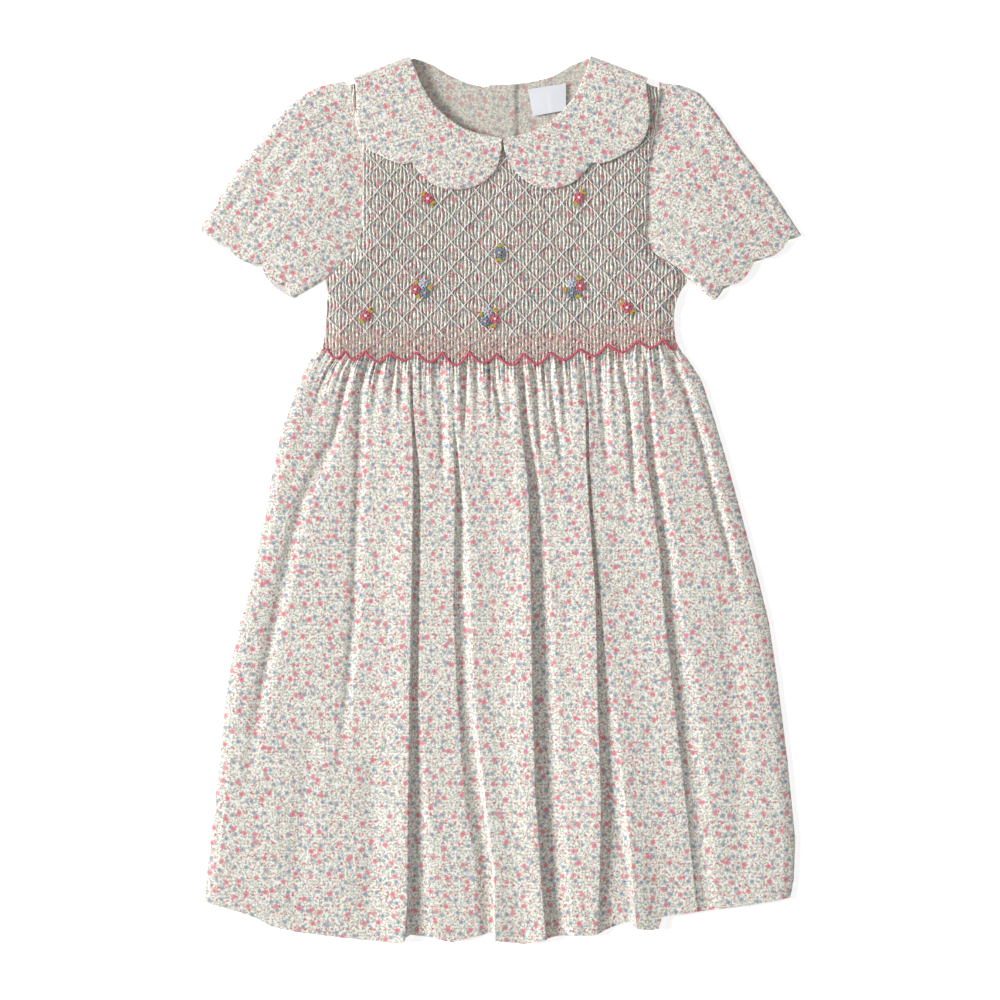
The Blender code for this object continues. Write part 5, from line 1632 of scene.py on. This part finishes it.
def make_embroidery(materials):
    """All the embroidered posies, as one piece."""
    sewn = Stitchery("embroidered_flowers")
    for posy in POSIES:
        flowers, leaves, buds = posy_parts(posy.kind)
        turn = math.radians(posy.turn)

        def placed(x, y, posy=posy, turn=turn):
            px = posy.x + x * math.cos(turn) - y * math.sin(turn)
            py = posy.y + x * math.sin(turn) + y * math.cos(turn)
            return px, py, FRONT_UNDER + FRONT_WALL + PLEAT_RISE + 0.45

        for x, y, radius, petal, heart in flowers:
            sewn.flower(*placed(x, y), radius, petal, heart, turn=posy.turn + 20.0)
        for x, y, angle in leaves:
            sewn.leaves(*placed(x, y), 3.6, angle + posy.turn, MUSTARD)
        for x, y, finish in buds:
            sewn.knot(*placed(x, y), 0.8, finish)
    return sewn.piece.make([materials[name] for name in ("rose", "slate", "light_blue", "mustard",
                                                         "pink", "white")])


def make_button(number, y, materials):
    """A flat pearl button with a raised rim, on the back's placket, and two thread stitches where its
    four holes would be.
    """
    middle = (PLACKET_LEFT + PLACKET_RIGHT) / 2
    profile = ((0.0, 0.25), (2.9, 0.25), (3.4, 0.05), (4.6, 0.0), (5.3, 0.2), (5.5, 0.5),
               (5.3, 0.85), (4.6, 1.0), (0.0, 1.0))
    piece = Piece(f"pearl_button_{number}")
    turns = np.linspace(0.0, 2 * math.pi, 49)[:-1]
    rings = []
    for radius, height in profile:
        radius = max(radius, 0.001)
        rings.append(np.column_stack([middle + radius * np.cos(turns), y + radius * np.sin(turns),
                                      np.full(len(turns), height)]))
    grid = piece.add_grid(np.array(rings))
    piece.fill(grid, 0, around=True)
    made = piece.make([materials["pearl"]], merge=0.01)
    sewn = Stitchery(f"button_thread_{number}")
    for x in (middle - HOLE_AWAY, middle + HOLE_AWAY):
        sewn.bullion([(x, y - 1.5, 0.22), (x, y, 0.12), (x, y + 1.5, 0.22)], 0.2, 0)
    return made, sewn.piece.make([materials["white"]])


def flat_material(name, shade, roughness):
    """An almost even colour."""
    material, tree, shader = new_material(name, roughness)
    place = tree.add("ShaderNodeTexCoord").outputs["Object"]
    noise = tree.add("ShaderNodeTexNoise", {"Vector": place, "Scale": 3.0})
    tree.tree.links.new(tree.blend(noise.outputs["Fac"], shade, tuple(0.985 * c for c in shade)),
                        shader.inputs["Base Color"])
    return material


def make_stage():
    """A plain pale floor that glows a little as painted light, soft studio light and the camera
    straight above.
    """
    mesh = bpy.data.meshes.new("floor")
    reach = 3.0
    below = -0.4 * MM
    mesh.from_pydata([(-reach, -reach, below), (reach, -reach, below), (reach, reach, below),
                      (-reach, reach, below)], [], [(0, 1, 2, 3)])
    paper = flat_material("pale_floor_painted_glow", colour(250, 250, 250), 0.9)
    lit = paper.node_tree.nodes["Principled BSDF"].inputs
    # The floor glows: painted light that washes out the dress's shadow on it.
    lit["Emission Color"].default_value = (1.0, 1.0, 1.0, 1.0)
    lit["Emission Strength"].default_value = 0.5
    mesh.materials.append(paper)
    floor = bpy.data.objects.new("floor", mesh)
    bpy.context.scene.collection.objects.link(floor)

    world = bpy.data.worlds.new("studio")
    world.use_nodes = True
    world.node_tree.nodes["Background"].inputs["Color"].default_value = (1.0, 1.0, 1.0, 1.0)
    world.node_tree.nodes["Background"].inputs["Strength"].default_value = 0.33
    bpy.context.scene.world = world

    def area(name, place, target, size, power):
        light = bpy.data.lights.new(name, "AREA")
        light.size = size
        light.energy = power
        made = bpy.data.objects.new(name, light)
        bpy.context.scene.collection.objects.link(made)
        made.location = place
        away = np.array(target) - np.array(place)
        made.rotation_euler = Vector(away).to_track_quat("-Z", "Y").to_euler()

    area("key", (-6.2, 0.9, 3.3), (0.0, 0.0, 0.0), 2.2, 590.0)
    area("fill", (0.3, 0.2, 2.6), (0.0, 0.0, 0.0), 2.4, 9.3)

    camera = bpy.data.cameras.new("camera")
    camera.lens = 85.0
    camera.sensor_width = 36.0
    holder = bpy.data.objects.new("camera", camera)
    bpy.context.scene.collection.objects.link(holder)
    distance = PICTURE_WIDTH * MM * camera.lens / camera.sensor_width
    holder.location = (-0.4 * MM, 0.0, distance + MIDDLE_HEIGHT * MM)
    camera.clip_start, camera.clip_end = 0.05, 20.0
    bpy.context.scene.camera = holder
    bpy.context.scene.view_settings.view_transform = "Standard"


def main():
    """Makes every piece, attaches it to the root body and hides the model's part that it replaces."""
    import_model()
    make_stage()
    materials = make_materials()
    trees = {"each": thread_tree("stitch_on_each_point", "EVALUATED"),
             "spaced": thread_tree("stitches_along_a_line", "LENGTH")}

    def cloth(piece, node, slot, flat, rests_on, held="laid", area=None, with_pieces=()):
        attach(piece, "root")
        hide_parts(node)
        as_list(rests_on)
        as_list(with_pieces)

    lattice = make_lattice(materials, trees)
    peach = make_peach_band(materials, trees)
    wave = make_wave(materials, trees)
    flowers = make_embroidery(materials)
    for piece in (lattice, peach, wave, flowers):
        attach(piece, "root")
    bodice = make_bodice(materials)
    cloth(bodice, "front", "smocked_cotton", (0.546, 0.225),
          ["back_bodice_left", "back_bodice_right"], held="gathered", area=0.088,
          with_pieces=[lattice, peach, wave, flowers])
    skirt = make_skirt(materials)
    cloth(skirt, "front", "smocked_cotton", (0.546, 0.475), ["back_skirt"], held="gathered",
          area=0.235)
    cloth(make_back_skirt(materials), "back_skirt", "printed_cotton", (0.46, 0.47), [])
    cloth(make_back_half("back_left_cloth", "left", materials), "back_bodice_left",
          "printed_cotton", (0.155, 0.23), [], area=0.028)
    cloth(make_back_half("back_right_cloth", "right", materials), "back_bodice_right",
          "printed_cotton", (0.155, 0.23), ["back_left_cloth"], area=0.028)
    cloth(make_sleeve("left_sleeve_cloth", SLEEVE_LEFT_FOLD, SLEEVE_LEFT_SEAM,
                      (LEFT_HEM_FRONT, LEFT_HEM_BACK), -1.0, materials),
          "sleeve_left", "printed_cotton", (0.33, 0.16), [], held="folded", area=0.03)
    cloth(make_sleeve("right_sleeve_cloth", SLEEVE_RIGHT_FOLD, SLEEVE_RIGHT_SEAM,
                      (RIGHT_HEM_FRONT, RIGHT_HEM_BACK), 1.0, materials),
          "sleeve_right", "printed_cotton", (0.33, 0.16), [], held="folded", area=0.03)
    cloth(make_collar("left_collar_cloth", NECK_LEFT, COLLAR_LEFT_EDGE, -1.0, materials),
          "collar_left", "printed_cotton", (0.24, 0.15), ["front_smocking"], area=0.0165)
    cloth(make_collar("right_collar_cloth", NECK_RIGHT, COLLAR_RIGHT_EDGE, 1.0, materials),
          "collar_right", "printed_cotton", (0.24, 0.15), ["front_smocking"], area=0.0165)
    cloth(make_label(materials), "label", "label_cloth", (0.030, 0.026), ["back_right_cloth"])
    for number, y in enumerate(BUTTON_PLACES, start=1):
        button, sewn = make_button(number, y, materials)
        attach(button, "root")
        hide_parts(f"button_{number}")
        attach(sewn, "root")


main()
